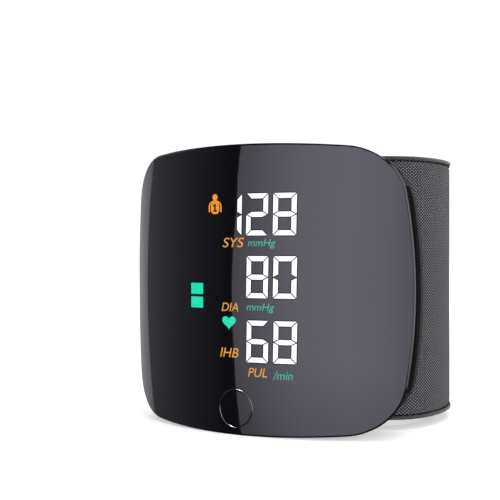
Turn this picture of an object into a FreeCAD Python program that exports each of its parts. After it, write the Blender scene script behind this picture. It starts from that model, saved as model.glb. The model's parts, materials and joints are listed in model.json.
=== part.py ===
"""Wrist blood pressure monitor: a curved display case on a hinged fabric cuff.

Working frame, in millimetres: X to the right, Y from the front towards the back, Z up along the wrist.
The working origin is the front-most point of the case, half way up it. Every piece is moved from
there to the part's own origin, the middle of its footprint at its lowest level, when it is written.
"""
import FreeCAD
import Part
import math
import os

Vector = FreeCAD.Vector
UP = Vector(0, 0, 1)
BACK = Vector(0, 1, 0)

# Case outline, seen from the front: four long arcs joined by four corner arcs
CASE_HALF_WIDTH = 42.8
CASE_HALF_HEIGHT = 37.5
SIDE_ARC_R = 172.0
TOP_ARC_R = 371.0
CORNER_R = 13.7
# Case depth: the front bulges as a cylinder about a vertical axis, and falls back at the sides
FACE_DROP = 15.7
CASE_DEPTH = 24.6
CASE_MIDDLE_DEPTH = 19.0
COVER_T = 0.9
COVER_EDGE_R = 0.5
FRAME_T = 1.8
WALL = 1.8
REAR_EDGE_R = 0.8
SHELL_INSET = 0.5
REAR_NARROWING = 0.8
REAR_LOWERING = 2.9
REAR_SIDE_ARC_R = 130.0
# Shadow slots in both sides of the case
SLOT_HALF_LENGTH = 26.5
SLOT_DEPTH = 1.2
SLOT_BACK_Y = 22.1

# Cuff, seen from above: a round loop with a flatter front that carries the case
LOOP_R = 38.2
LOOP_BEHIND_SEAT = 25.9
SEAT_R = 60.0
SEAT_CORNER_R = 14.0
CUFF_HALF_HEIGHT = 35.05
BINDING_H = 1.2
FABRIC_T = 1.0
STIFFENER_T = 1.3
BLADDER_T = 3.2
LINING_T = 1.5
# Angles about the loop's middle, from +X towards the back
HINGE_ANGLE = 180.0
ARM_END_ANGLE = 104.0
FIXED_END_ANGLE = 96.0
FLAP_TIP_ANGLE = 52.0
FLAP_ROOT_ANGLE = 128.0
PATCH_MARGIN_ANGLE = 5.0
HINGE_GAP = 0.3
LOOP_PATCH_T = 0.4
PATCH_GAP = 0.3
HOOK_PATCH_T = 0.5
FLAP_T = 1.4
FLAP_HALF_HEIGHT = 31.5
FLAP_ROOT_MARGIN_ANGLE = 2.0
HOOK_PATCH_INSET = 1.0

# Start button and its switch
BUTTON_UP_FROM_BOTTOM = 6.85
BUTTON_R = 4.65
BUTTON_GAP = 0.1
RING_W = 0.3
BUTTON_EDGE_R = 0.12
BUTTON_TRAVEL = 0.5
BUTTON_NECK_R = 4.0
BUTTON_SPARE = 0.15
BUTTON_EAR_REACH = 0.9
BUTTON_EAR_H = 6.0
BUTTON_EAR_T = 0.8
BUTTON_EAR_GAP = 0.4
STEM_R = 1.5
STEM_LENGTH = 0.8
PLUNGER_R = 1.6
PLUNGER_LENGTH = 2.2
SWITCH_W = 5.0
SWITCH_H = 3.4
RUNNING_GAP = 0.05
SWITCH_SPARE = 0.3

# Display: seven segment digits, let flush into the cover
DIGIT_H = 10.7
DIGIT_W = 6.05
DIGIT_PITCH = 7.45
STROKE = 1.27
STROKE_GAP = 0.26
SLANT = 0.022
INLAY_T = 0.4
LAST_DIGIT_X = 13.8
ROW_MIDDLES = (19.3, 3.3, -13.15)
ROW_NUMBERS = ("128", "80", "68")
REFLECTOR_LEFT = -16.5
REFLECTOR_RIGHT = 19.5
REFLECTOR_BOTTOM = -23.6
REFLECTOR_TOP = 27.4
REFLECTOR_GAP = 0.3
REFLECTOR_BACK_Y = 5.4
CELL_MARGIN = 0.5
DISPLAY_BOARD_T = 1.0
LED_SIZE = (1.2, 0.6, 0.8)

# Electronics on the main board
BOARD_FRONT_Y = 9.0
BOARD_T = 1.2
BOARD_HALF_WIDTH = 24.0
BOARD_BOTTOM_GAP = 2.5
BOARD_TOP_GAP = 3.7
BATTERY = (-24.0, -3.0, 5.2, -10.0, 28.0)
BATTERY_PAD_T = 0.4
USB_X = -16.0
USB_W = 9.0
USB_T = 3.2
USB_LENGTH = 7.4
USB_SHELL_T = 0.3
USB_SETBACK = 0.6
USB_CLEARANCE = 0.15
USB_TONGUE_W = 6.6
USB_TONGUE_T = 0.7
USB_TONGUE_SETBACK = 1.0
CHIP_X = -14.0
CHIP_Z = 8.0
CHIP_W = 9.0
CHIP_T = 1.2
SENSOR_X = 9.5
SENSOR_Z = 9.5
SENSOR_W = 7.0
SENSOR_T = 3.2
SENSOR_NOZZLE_R = 1.1
SENSOR_NOZZLE_L = 2.4
BUZZER_X = 5.0
BUZZER_Z = 24.0
BUZZER_R = 4.5
BUZZER_T = 2.6

# Air pump, release valve and the path to the cuff
PUMP_X = 27.0
PUMP_WALL_GAP = 0.15
PUMP_HEAD_W = 8.4
PUMP_HEAD_BOTTOM = -3.0
PUMP_HEAD_TOP = 8.0
MOTOR_R = 4.2
MOTOR_WALL = 0.6
MOTOR_LENGTH = 14.0
END_CAP_T = 1.0
SHAFT_R = 0.75
ROTOR_GAP = 0.6
ROTOR_END_GAP = 1.0
ECCENTRIC_R = 1.6
ECCENTRIC_OFFSET = 0.6
ECCENTRIC_T = 2.4
CHAMBER_R = 2.8
CHAMBER_DEPTH = 4.8
AIR_NOZZLE_R = 1.2
AIR_NOZZLE_L = 5.0
MANIFOLD_LEFT = 14.5
MANIFOLD_H = 5.0
MANIFOLD_T = 5.0
VALVE_X = 17.5
VALVE_W = 5.0
VALVE_H = 10.0
VALVE_STEM_H = 1.0
VALVE_PLUNGER_R = 1.0
VALVE_PLUNGER_REACH = 2.4
VALVE_HEAD_R = 1.6
VALVE_HEAD_T = 0.8
INLET_X = 18.0
INLET_R = 2.0

# Screws
CASE_SCREW_IN = 7.5
CASE_SCREW_DOWN = 11.1
SCREW_R = 1.0
SCREW_CLEARANCE = 0.15
SCREW_HEAD_R = 2.0
SCREW_HEAD_T = 1.4
SCREW_RECESS = 2.0
POST_R = 2.5
POST_END_Y = 17.0
SCREW_SPARE = 0.4
CUFF_SCREW_X = 9.0
CUFF_SCREW_Z = 20.0
CUFF_SCREW_HEAD_T = 0.9
CUFF_BOSS_R = 2.6
CUFF_BOSS_L = 1.6

# Worked out from the sizes above
FACE_R = (CASE_HALF_WIDTH ** 2 + FACE_DROP ** 2) / (2 * FACE_DROP)
REAR_HALF_WIDTH = CASE_HALF_WIDTH - REAR_NARROWING
REAR_HALF_HEIGHT = CASE_HALF_HEIGHT - REAR_LOWERING
SEAT_Y = CASE_MIDDLE_DEPTH + SEAT_R
LOOP_Y = CASE_MIDDLE_DEPTH + LOOP_BEHIND_SEAT
BUTTON_Z = BUTTON_UP_FROM_BOTTOM - CASE_HALF_HEIGHT
BOARD_BOTTOM = WALL + BOARD_BOTTOM_GAP - CASE_HALF_HEIGHT
BOARD_TOP = CASE_HALF_HEIGHT - WALL - BOARD_TOP_GAP
CASE_SCREW_X = REAR_HALF_WIDTH - CASE_SCREW_IN
CASE_SCREW_Z = REAR_HALF_HEIGHT - CASE_SCREW_DOWN
CUFF_T = FABRIC_T + STIFFENER_T + BLADDER_T + LINING_T
FLAP_INNER_R = LOOP_R + LOOP_PATCH_T + PATCH_GAP + HOOK_PATCH_T
FLAP_OUTER_R = FLAP_INNER_R + FLAP_T
TOTAL_DEPTH = LOOP_Y + FLAP_OUTER_R
LAYER_HALF_HEIGHT = CUFF_HALF_HEIGHT - BINDING_H
BINDING_END_ANGLE = math.degrees(BINDING_H / LOOP_R)
FRAME_DEPTH = COVER_T + FRAME_T
BUTTON_BACK_Y = FRAME_DEPTH + BUTTON_EAR_GAP
BOARD_BACK_Y = BOARD_FRONT_Y + BOARD_T
INNER_BACK_R = SEAT_R + WALL
PUMP_Y = SEAT_Y - math.sqrt(INNER_BACK_R ** 2 - MANIFOLD_LEFT ** 2) - PUMP_WALL_GAP - MANIFOLD_T / 2
ROTOR_R = MOTOR_R - MOTOR_WALL - ROTOR_GAP
RING_OUTER_R = BUTTON_R + BUTTON_GAP + RING_W
TO_PART_ORIGIN = Vector(0, -TOTAL_DEPTH / 2, CASE_HALF_HEIGHT)
# How far cutting shapes reach past what they cut, and a reach beyond everything
OVER = 1.0
FAR = 200.0
WEDGE_STEP = 30.0
FACE_TOLERANCE = 0.01

PARTS = {}


def box(x0, x1, y0, y1, z0, z1):
    """Block between two corners."""
    return Part.makeBox(x1 - x0, y1 - y0, z1 - z0, Vector(x0, y0, z0))


def rod(radius, start, direction, length):
    """Round bar from a point along a direction."""
    return Part.makeCylinder(radius, length, start, direction)


def upright(radius, x, y, z0, z1):
    """Round bar along Z."""
    return rod(radius, Vector(x, y, z0), UP, z1 - z0)


def fore_aft(radius, x, z, y0, y1):
    """Round bar along Y."""
    return rod(radius, Vector(x, y0, z), BACK, y1 - y0)


def fused(solids):
    """Several touching or overlapping solids as one."""
    return solids[0].fuse(solids[1:]).removeSplitter()


def circle_crossing(c1, r1, c2, r2):
    """The crossing of two circles that lies furthest towards +X and +Y of their plane."""
    gap = math.hypot(c2[0] - c1[0], c2[1] - c1[1])
    along = (r1 * r1 - r2 * r2 + gap * gap) / (2 * gap)
    aside = math.sqrt(r1 * r1 - along * along)
    ux = (c2[0] - c1[0]) / gap
    uy = (c2[1] - c1[1]) / gap
    pairs = []
    for side in (aside, -aside):
        pairs.append((c1[0] + along * ux - side * uy, c1[1] + along * uy + side * ux))
    return max(pairs, key=lambda p: p[0] + p[1])


def point_from(centre, towards, radius):
    """The point at a radius from a centre, in the direction away from another point."""
    dx = centre[0] - towards[0]
    dz = centre[1] - towards[1]
    length = math.hypot(dx, dz)
    return (centre[0] + radius * dx / length, centre[1] + radius * dz / length)


def case_outline(half_width, half_height, side_r, y):
    """Face of the case outline in the XZ plane at depth y."""
    side_centre = (half_width - side_r, 0.0)
    top_centre = (0.0, half_height - TOP_ARC_R)
    corner = circle_crossing(side_centre, side_r - CORNER_R, top_centre, TOP_ARC_R - CORNER_R)
    low = point_from(corner, side_centre, CORNER_R)
    high = point_from(corner, top_centre, CORNER_R)
    middle = point_from(corner, (corner[0] * 2 - low[0] - high[0] + corner[0],
                                 corner[1] * 2 - low[1] - high[1] + corner[1]), CORNER_R)

    def at(point, sx, sz):
        return Vector(point[0] * sx, y, point[1] * sz)

    edges = []
    quarters = ((1, 1), (-1, 1), (-1, -1), (1, -1))
    for sx, sz in quarters:
        first, last = (low, high) if sx * sz > 0 else (high, low)
        edges.append(Part.Arc(at(first, sx, sz), at(middle, sx, sz), at(last, sx, sz)).toShape())
        if sx * sz > 0:
            long_arc = Part.Arc(at(high, sx, sz), Vector(0, y, half_height * sz), at(high, -sx, sz))
        else:
            long_arc = Part.Arc(at(low, sx, sz), Vector(half_width * sx, y, 0), at(low, sx, -sz))
        edges.append(long_arc.toShape())
    return Part.Wire(edges)


def case_prism(half_width, half_height):
    """The case outline carried straight back."""
    wire = case_outline(half_width, half_height, SIDE_ARC_R, -OVER)
    return Part.Face(wire).extrude(BACK * (CASE_DEPTH + OVER))


def case_body(inset, y_end):
    """The case behind its cover: it narrows a little towards the back."""
    front_inset = SHELL_INSET + inset
    front = case_outline(CASE_HALF_WIDTH - front_inset, CASE_HALF_HEIGHT - front_inset, SIDE_ARC_R, 0.0)
    rear = case_outline(REAR_HALF_WIDTH - inset, REAR_HALF_HEIGHT - inset, REAR_SIDE_ARC_R, CASE_DEPTH)
    whole = Part.makeLoft([front, rear], True, True)
    return whole.common(box(-FAR, FAR, -OVER, y_end, -FAR, FAR))


def face_cylinder(depth):
    """Everything deeper than a distance behind the curved front."""
    return upright(FACE_R - depth, 0, FACE_R, -FAR, FAR)


def behind_face(depth, x):
    """Y of the surface a distance behind the curved front, at a place across the case."""
    radius = FACE_R - depth
    return FACE_R - math.sqrt(radius * radius - x * x)


def curved_layer(depth0, depth1):
    """The layer between two depths behind the curved front."""
    return face_cylinder(depth0).cut(face_cylinder(depth1))


def front_edges_rounded(solid, radius):
    """The solid with the edges of its curved front face rounded."""
    edges = []
    for face in solid.Faces:
        surface = face.Surface
        if isinstance(surface, Part.Cylinder) and abs(surface.Radius - FACE_R) < FACE_TOLERANCE:
            edges.extend(face.Edges)
    return solid.makeFillet(radius, edges)


def rear_edges_rounded(solid, radius):
    """The solid with the edges of its flat back rounded."""
    back = solid.BoundBox.YMax
    edges = []
    for edge in solid.Edges:
        if edge.BoundBox.YMin > back - FACE_TOLERANCE:
            edges.append(edge)
    return solid.makeFillet(radius, edges)


def case_half_height_at(y):
    """Half height of the case behind its cover, at a depth."""
    front = CASE_HALF_HEIGHT - SHELL_INSET
    return front + (REAR_HALF_HEIGHT - front) * y / CASE_DEPTH


def cuff_prism(offset, half_height):
    """Everything inside the cuff's surface, at a distance inwards from its outside."""
    loop_centre = (0.0, LOOP_Y)
    seat_centre = (0.0, SEAT_Y)
    across = circle_crossing((0.0, -LOOP_Y), LOOP_R - SEAT_CORNER_R, (0.0, -SEAT_Y), SEAT_R - SEAT_CORNER_R)
    corner = (across[0], -across[1])
    side = point_from(corner, loop_centre, SEAT_CORNER_R - offset)
    seat = point_from(corner, seat_centre, SEAT_CORNER_R - offset)
    turn = (math.atan2(side[1] - corner[1], side[0] - corner[0]) +
            math.atan2(seat[1] - corner[1], seat[0] - corner[0])) / 2
    bend = (corner[0] + (SEAT_CORNER_R - offset) * math.cos(turn),
            corner[1] + (SEAT_CORNER_R - offset) * math.sin(turn))

    def at(point, sx=1):
        return Vector(point[0] * sx, point[1], -half_height)

    front = (0.0, SEAT_Y - SEAT_R + offset)
    back = (0.0, LOOP_Y + LOOP_R - offset)
    edges = [
        Part.Arc(at(seat, -1), at(front), at(seat)).toShape(),
        Part.Arc(at(seat), at(bend), at(side)).toShape(),
        Part.Arc(at(side), at(back), at(side, -1)).toShape(),
        Part.Arc(at(side, -1), at(bend, -1), at(seat, -1)).toShape(),
    ]
    return Part.Face(Part.Wire(edges)).extrude(UP * (2 * half_height))


def cuff_layer(outside, inside, z0, z1):
    """A layer of the cuff all round its loop, between two levels."""
    ring = cuff_prism(outside, FAR).cut(cuff_prism(inside, FAR))
    return ring.common(box(-FAR, FAR, -FAR, FAR, z0, z1))


def wedge(angle0, angle1):
    """Everything between two angles about the loop's middle."""
    steps = max(2, math.ceil((angle1 - angle0) / WEDGE_STEP))
    points = [Vector(0, LOOP_Y, -FAR)]
    for i in range(steps + 1):
        angle = math.radians(angle0 + (angle1 - angle0) * i / steps)
        points.append(Vector(FAR * math.cos(angle), LOOP_Y + FAR * math.sin(angle), -FAR))
    points.append(points[0])
    return Part.Face(Part.makePolygon(points)).extrude(UP * (2 * FAR))


def round_band(inner_r, outer_r, half_height, angle0, angle1):
    """A band about the loop's axis, between two radii and two angles."""
    ring = upright(outer_r, 0, LOOP_Y, -half_height, half_height)
    ring = ring.cut(upright(inner_r, 0, LOOP_Y, -half_height, half_height))
    return ring.common(wedge(angle0, angle1))


def fixed_side(ring, short_of_end=0):
    """The stretch of a cuff layer that stays with the case, ending an angle short of its free end."""
    seam = box(-FAR, 0, LOOP_Y - HINGE_GAP / 2, LOOP_Y + HINGE_GAP / 2, -FAR, FAR)
    return ring.cut(wedge(FIXED_END_ANGLE - short_of_end, HINGE_ANGLE)).cut(seam)


def arm_side(ring, short_of_end=0):
    """The stretch of a cuff layer that swings open, ending an angle short of its free end."""
    seam = box(-FAR, 0, LOOP_Y - HINGE_GAP / 2, LOOP_Y + HINGE_GAP / 2, -FAR, FAR)
    return ring.common(wedge(ARM_END_ANGLE + short_of_end, HINGE_ANGLE)).cut(seam)


def digit_bars(character):
    """Corner lists of the lit bars of one digit, about its middle, as x and z pairs.

    Bars are mitred: at 45 degrees in the corners, and at one in two where the middle bar meets the sides.
    """
    right = DIGIT_W / 2
    top = DIGIT_H / 2
    inner_x = right - STROKE
    inner_z = top - STROKE
    half = STROKE / 2
    corner_gap = STROKE_GAP / math.sqrt(2)
    side_gap = STROKE_GAP * math.sqrt(5) / 4
    point_gap = 2 * side_gap
    upper = [(-right + corner_gap, top), (right - corner_gap, top),
             (inner_x - corner_gap, inner_z), (corner_gap - inner_x, inner_z)]
    side = [(right, top - corner_gap), (right, side_gap),
            (inner_x, half + side_gap), (inner_x, inner_z - corner_gap)]
    middle = [(point_gap - right, 0), (point_gap - inner_x, half), (inner_x - point_gap, half),
              (right - point_gap, 0), (inner_x - point_gap, -half), (point_gap - inner_x, -half)]
    bars = {
        "a": upper,
        "b": side,
        "c": mirrored(side, 1, -1),
        "d": mirrored(upper, 1, -1),
        "e": mirrored(side, -1, -1),
        "f": mirrored(side, -1, 1),
        "g": middle,
    }
    lit = {"0": "abcdef", "1": "bc", "2": "abged", "6": "acdefg", "8": "abcdefg"}
    return [bars[name] for name in lit[character]]


def mirrored(points, sx, sz):
    """Corners turned over left to right, or top to bottom."""
    return [(x * sx, z * sz) for x, z in points]


def digit_places():
    """Each digit with the place of its middle, across and up."""
    for number, z in zip(ROW_NUMBERS, ROW_MIDDLES):
        for place, character in enumerate(reversed(number)):
            yield character, LAST_DIGIT_X - place * DIGIT_PITCH, z


def bar_prism(points, x, z):
    """One slanted bar carried from the front of the case into it."""
    corners = [Vector(x + px + SLANT * pz, -OVER, z + pz) for px, pz in points]
    return Part.Face(Part.makePolygon(corners + corners[:1])).extrude(BACK * (REFLECTOR_BACK_Y + OVER))


def make_display():
    """Lit bars in the cover, the reflector behind them and the LED board."""
    prisms = []
    for character, x, z in digit_places():
        prisms.extend(bar_prism(points, x, z) for points in digit_bars(character))
    inlay = curved_layer(0, INLAY_T)
    PARTS["digit_segments"] = Part.makeCompound([prism.common(inlay) for prism in prisms])

    front = face_cylinder(COVER_T + REFLECTOR_GAP)
    block = box(REFLECTOR_LEFT, REFLECTOR_RIGHT, 0, REFLECTOR_BACK_Y, REFLECTOR_BOTTOM, REFLECTOR_TOP)
    block = block.common(front)
    for _, x, z in digit_places():
        half_w = DIGIT_PITCH / 2 - CELL_MARGIN
        half_h = DIGIT_H / 2 + CELL_MARGIN
        block = block.cut(box(x - half_w, x + half_w, -OVER, REFLECTOR_BACK_Y + OVER, z - half_h, z + half_h))
    PARTS["display_reflector"] = block

    board_back = REFLECTOR_BACK_Y + DISPLAY_BOARD_T
    PARTS["display_board"] = box(REFLECTOR_LEFT, REFLECTOR_RIGHT, REFLECTOR_BACK_Y, board_back,
                                 REFLECTOR_BOTTOM, REFLECTOR_TOP)
    leds = []
    for character, x, z in digit_places():
        for points in digit_bars(character):
            cx = x + sum(p[0] + SLANT * p[1] for p in points) / len(points)
            cz = z + sum(p[1] for p in points) / len(points)
            leds.append(box(cx - LED_SIZE[0] / 2, cx + LED_SIZE[0] / 2, REFLECTOR_BACK_Y - LED_SIZE[1],
                            REFLECTOR_BACK_Y, cz - LED_SIZE[2] / 2, cz + LED_SIZE[2] / 2))
    PARTS["display_leds"] = Part.makeCompound(leds)
    return prisms


def make_case(prisms):
    """Tinted cover, front frame and rear shell."""
    button_hole = fore_aft(RING_OUTER_R, 0, BUTTON_Z, -OVER, BOARD_FRONT_Y)
    cover = curved_layer(0, COVER_T).common(case_prism(CASE_HALF_WIDTH, CASE_HALF_HEIGHT))
    cover = front_edges_rounded(cover, COVER_EDGE_R).cut(button_hole)
    shallow = curved_layer(0, INLAY_T)
    cover = cover.cut([prism.common(shallow) for prism in prisms])
    PARTS["front_cover"] = cover

    frame = curved_layer(COVER_T, FRAME_DEPTH).common(case_body(0, CASE_DEPTH)).cut(button_hole)
    rim = case_prism(CASE_HALF_WIDTH + OVER, CASE_HALF_HEIGHT + OVER)
    core = case_prism(CASE_HALF_WIDTH - SHELL_INSET - SLOT_DEPTH, CASE_HALF_HEIGHT + 2 * OVER)
    slots = rim.cut(core).common(box(-FAR, FAR, -OVER, SLOT_BACK_Y, -SLOT_HALF_LENGTH, SLOT_HALF_LENGTH))
    window = box(REFLECTOR_LEFT - REFLECTOR_GAP, REFLECTOR_RIGHT + REFLECTOR_GAP, -OVER, BOARD_FRONT_Y,
                 REFLECTOR_BOTTOM - REFLECTOR_GAP, REFLECTOR_TOP + REFLECTOR_GAP)
    frame = frame.cut(slots).cut(window)
    posts = []
    holes = []
    post_start = behind_face(FRAME_DEPTH, CASE_SCREW_X)
    for x, z in screw_places():
        post = fore_aft(POST_R, x, z, 0, POST_END_Y).common(face_cylinder(FRAME_DEPTH - FRAME_T / 2))
        posts.append(post)
        holes.append(fore_aft(SCREW_R, x, z, post_start, POST_END_Y))
    frame = fused([frame] + posts)
    PARTS["front_frame"] = frame.cut(holes)

    outer = rear_edges_rounded(case_body(0, CASE_DEPTH), REAR_EDGE_R)
    outer = outer.common(face_cylinder(FRAME_DEPTH)).cut(cuff_prism(0, FAR))
    inner = case_body(WALL, CASE_DEPTH - WALL).common(face_cylinder(0)).cut(cuff_prism(-WALL, FAR))
    shell = outer.cut(inner).cut(slots)
    bosses = []
    for x, z in screw_places():
        bosses.append(fore_aft(POST_R + SCREW_CLEARANCE, x, z, POST_END_Y, CASE_DEPTH - WALL / 2))
    cuff_bosses = []
    for x, z in cuff_screw_places():
        seat = cuff_face_y(0, x)
        column = fore_aft(CUFF_BOSS_R, x, z, seat - WALL - CUFF_BOSS_L, seat + OVER).cut(cuff_prism(0, FAR))
        cuff_bosses.append(column)
    shell = fused([shell] + bosses + cuff_bosses)
    cuts = []
    recess_r = SCREW_HEAD_R + SCREW_CLEARANCE
    for x, z in screw_places():
        cuts.append(fore_aft(SCREW_R + SCREW_CLEARANCE, x, z, POST_END_Y - OVER, CASE_DEPTH))
        cuts.append(fore_aft(recess_r, x, z, CASE_DEPTH - SCREW_RECESS, CASE_DEPTH + OVER))
    for x, z in cuff_screw_places():
        seat = cuff_face_y(0, x)
        cuts.append(fore_aft(SCREW_R, x, z, seat - WALL - CUFF_BOSS_L - OVER, seat + 2 * OVER))
    cuts.append(fore_aft(INLET_R, INLET_X, manifold_middle(), BOARD_BACK_Y, CASE_DEPTH))
    cuts.append(usb_block(USB_CLEARANCE, -CASE_HALF_HEIGHT))
    neck_end = BUTTON_BACK_Y + BUTTON_EAR_T + BUTTON_TRAVEL
    cuts.append(fore_aft(BUTTON_NECK_R + BUTTON_GAP, 0, BUTTON_Z, 0, neck_end))
    PARTS["rear_shell"] = shell.cut(cuts)


def screw_places():
    """Middles of the four case screws."""
    return [(sx * CASE_SCREW_X, sz * CASE_SCREW_Z) for sx in (-1, 1) for sz in (-1, 1)]


def cuff_screw_places():
    """Middles of the four screws that hold the cuff to the case."""
    return [(sx * CUFF_SCREW_X, sz * CUFF_SCREW_Z) for sx in (-1, 1) for sz in (-1, 1)]


def cuff_face_y(offset, x):
    """Y of the cuff's flatter front, at a distance inwards from its outside."""
    radius = SEAT_R - offset
    return SEAT_Y - math.sqrt(radius * radius - x * x)


def manifold_middle():
    """Level of the middle of the air manifold."""
    return PUMP_HEAD_BOTTOM - AIR_NOZZLE_L - MANIFOLD_H / 2


def usb_mouth_z():
    """Level of the charging socket's mouth, a little inside the case's bottom."""
    return -case_half_height_at(BOARD_BACK_Y + USB_T / 2) + USB_SETBACK


def usb_block(margin, z0):
    """The charging socket's outside, with a margin round it, from a level up to its end."""
    half_w = USB_W / 2 + margin
    return box(USB_X - half_w, USB_X + half_w, BOARD_BACK_Y - margin, BOARD_BACK_Y + USB_T + margin,
               z0, usb_mouth_z() + USB_LENGTH)


def make_button():
    """Start button with its trim ring, and the switch that it presses."""
    ring = fore_aft(RING_OUTER_R, 0, BUTTON_Z, -OVER, BOARD_FRONT_Y)
    ring = ring.cut(fore_aft(BUTTON_R + BUTTON_GAP, 0, BUTTON_Z, -OVER, BOARD_FRONT_Y))
    ring = ring.common(curved_layer(0, FRAME_DEPTH))
    PARTS["button_ring"] = front_edges_rounded(ring, BUTTON_EDGE_R)

    ear_end = BUTTON_BACK_Y + BUTTON_EAR_T
    ear_half = RING_OUTER_R - RING_W + BUTTON_EAR_REACH
    stem_end = ear_end + STEM_LENGTH
    cap_depth = FRAME_DEPTH - BUTTON_TRAVEL - BUTTON_SPARE
    cap = fore_aft(BUTTON_R, 0, BUTTON_Z, -OVER, BOARD_FRONT_Y).common(curved_layer(0, cap_depth))
    cap = front_edges_rounded(cap, BUTTON_EDGE_R)
    neck = fore_aft(BUTTON_NECK_R, 0, BUTTON_Z, cap_depth / 2, BUTTON_BACK_Y + BUTTON_EAR_T / 2)
    ears = box(-ear_half, ear_half, BUTTON_BACK_Y, ear_end,
               BUTTON_Z - BUTTON_EAR_H / 2, BUTTON_Z + BUTTON_EAR_H / 2)
    stem = fore_aft(STEM_R, 0, BUTTON_Z, ear_end - BUTTON_EAR_T / 2, stem_end)
    PARTS["start_button"] = fused([cap, neck, ears, stem])
    PARTS["switch_plunger"] = fore_aft(PLUNGER_R, 0, BUTTON_Z, stem_end, stem_end + PLUNGER_LENGTH)

    switch = box(-SWITCH_W / 2, SWITCH_W / 2, BOARD_FRONT_Y - SWITCH_H, BOARD_FRONT_Y,
                 BUTTON_Z - SWITCH_W / 2, BUTTON_Z + SWITCH_W / 2)
    bore_end = stem_end + PLUNGER_LENGTH + BUTTON_TRAVEL + SWITCH_SPARE
    PARTS["switch_body"] = switch.cut(fore_aft(PLUNGER_R + RUNNING_GAP, 0, BUTTON_Z, 0, bore_end))


def make_electronics():
    """Main board and what is soldered or stuck to it."""
    PARTS["main_board"] = box(-BOARD_HALF_WIDTH, BOARD_HALF_WIDTH, BOARD_FRONT_Y, BOARD_BACK_Y,
                              BOARD_BOTTOM, BOARD_TOP)
    left, right, thickness, bottom, top = BATTERY
    pad_back = BOARD_BACK_Y + BATTERY_PAD_T
    PARTS["battery_pad"] = box(left, right, BOARD_BACK_Y, pad_back, bottom, top)
    PARTS["battery"] = rounded_upright_block(left, right, pad_back, pad_back + thickness, bottom, top)
    below_back_wall = usb_block(0, -CASE_HALF_HEIGHT).translated(UP * -USB_SHELL_T)
    hollow = usb_block(-USB_SHELL_T, -CASE_HALF_HEIGHT).common(below_back_wall)
    PARTS["usb_socket_shell"] = usb_block(0, usb_mouth_z()).cut(hollow)
    tongue_y = BOARD_BACK_Y + USB_T / 2
    mouth = usb_mouth_z()
    PARTS["usb_socket_tongue"] = box(USB_X - USB_TONGUE_W / 2, USB_X + USB_TONGUE_W / 2,
                                     tongue_y - USB_TONGUE_T / 2, tongue_y + USB_TONGUE_T / 2,
                                     mouth + USB_TONGUE_SETBACK, mouth + USB_LENGTH - USB_SHELL_T)
    PARTS["control_chip"] = box(CHIP_X - CHIP_W / 2, CHIP_X + CHIP_W / 2,
                                BOARD_FRONT_Y - CHIP_T, BOARD_FRONT_Y,
                                CHIP_Z - CHIP_W / 2, CHIP_Z + CHIP_W / 2)
    sensor = box(SENSOR_X - SENSOR_W / 2, SENSOR_X + SENSOR_W / 2, BOARD_BACK_Y, BOARD_BACK_Y + SENSOR_T,
                 SENSOR_Z - SENSOR_W / 2, SENSOR_Z + SENSOR_W / 2)
    nozzle = fore_aft(SENSOR_NOZZLE_R, SENSOR_X, SENSOR_Z, BOARD_BACK_Y + SENSOR_T / 2,
                      BOARD_BACK_Y + SENSOR_T + SENSOR_NOZZLE_L)
    PARTS["pressure_sensor"] = fused([sensor, nozzle])
    PARTS["buzzer"] = fore_aft(BUZZER_R, BUZZER_X, BUZZER_Z, BOARD_BACK_Y, BOARD_BACK_Y + BUZZER_T)


def rounded_upright_block(x0, x1, y0, y1, z0, z1):
    """A block whose left and right sides are half round."""
    radius = (y1 - y0) / 2
    middle = (y0 + y1) / 2
    core = box(x0 + radius, x1 - radius, y0, y1, z0, z1)
    left = upright(radius, x0 + radius, middle, z0, z1)
    right = upright(radius, x1 - radius, middle, z0, z1)
    return fused([core, left, right])


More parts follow.
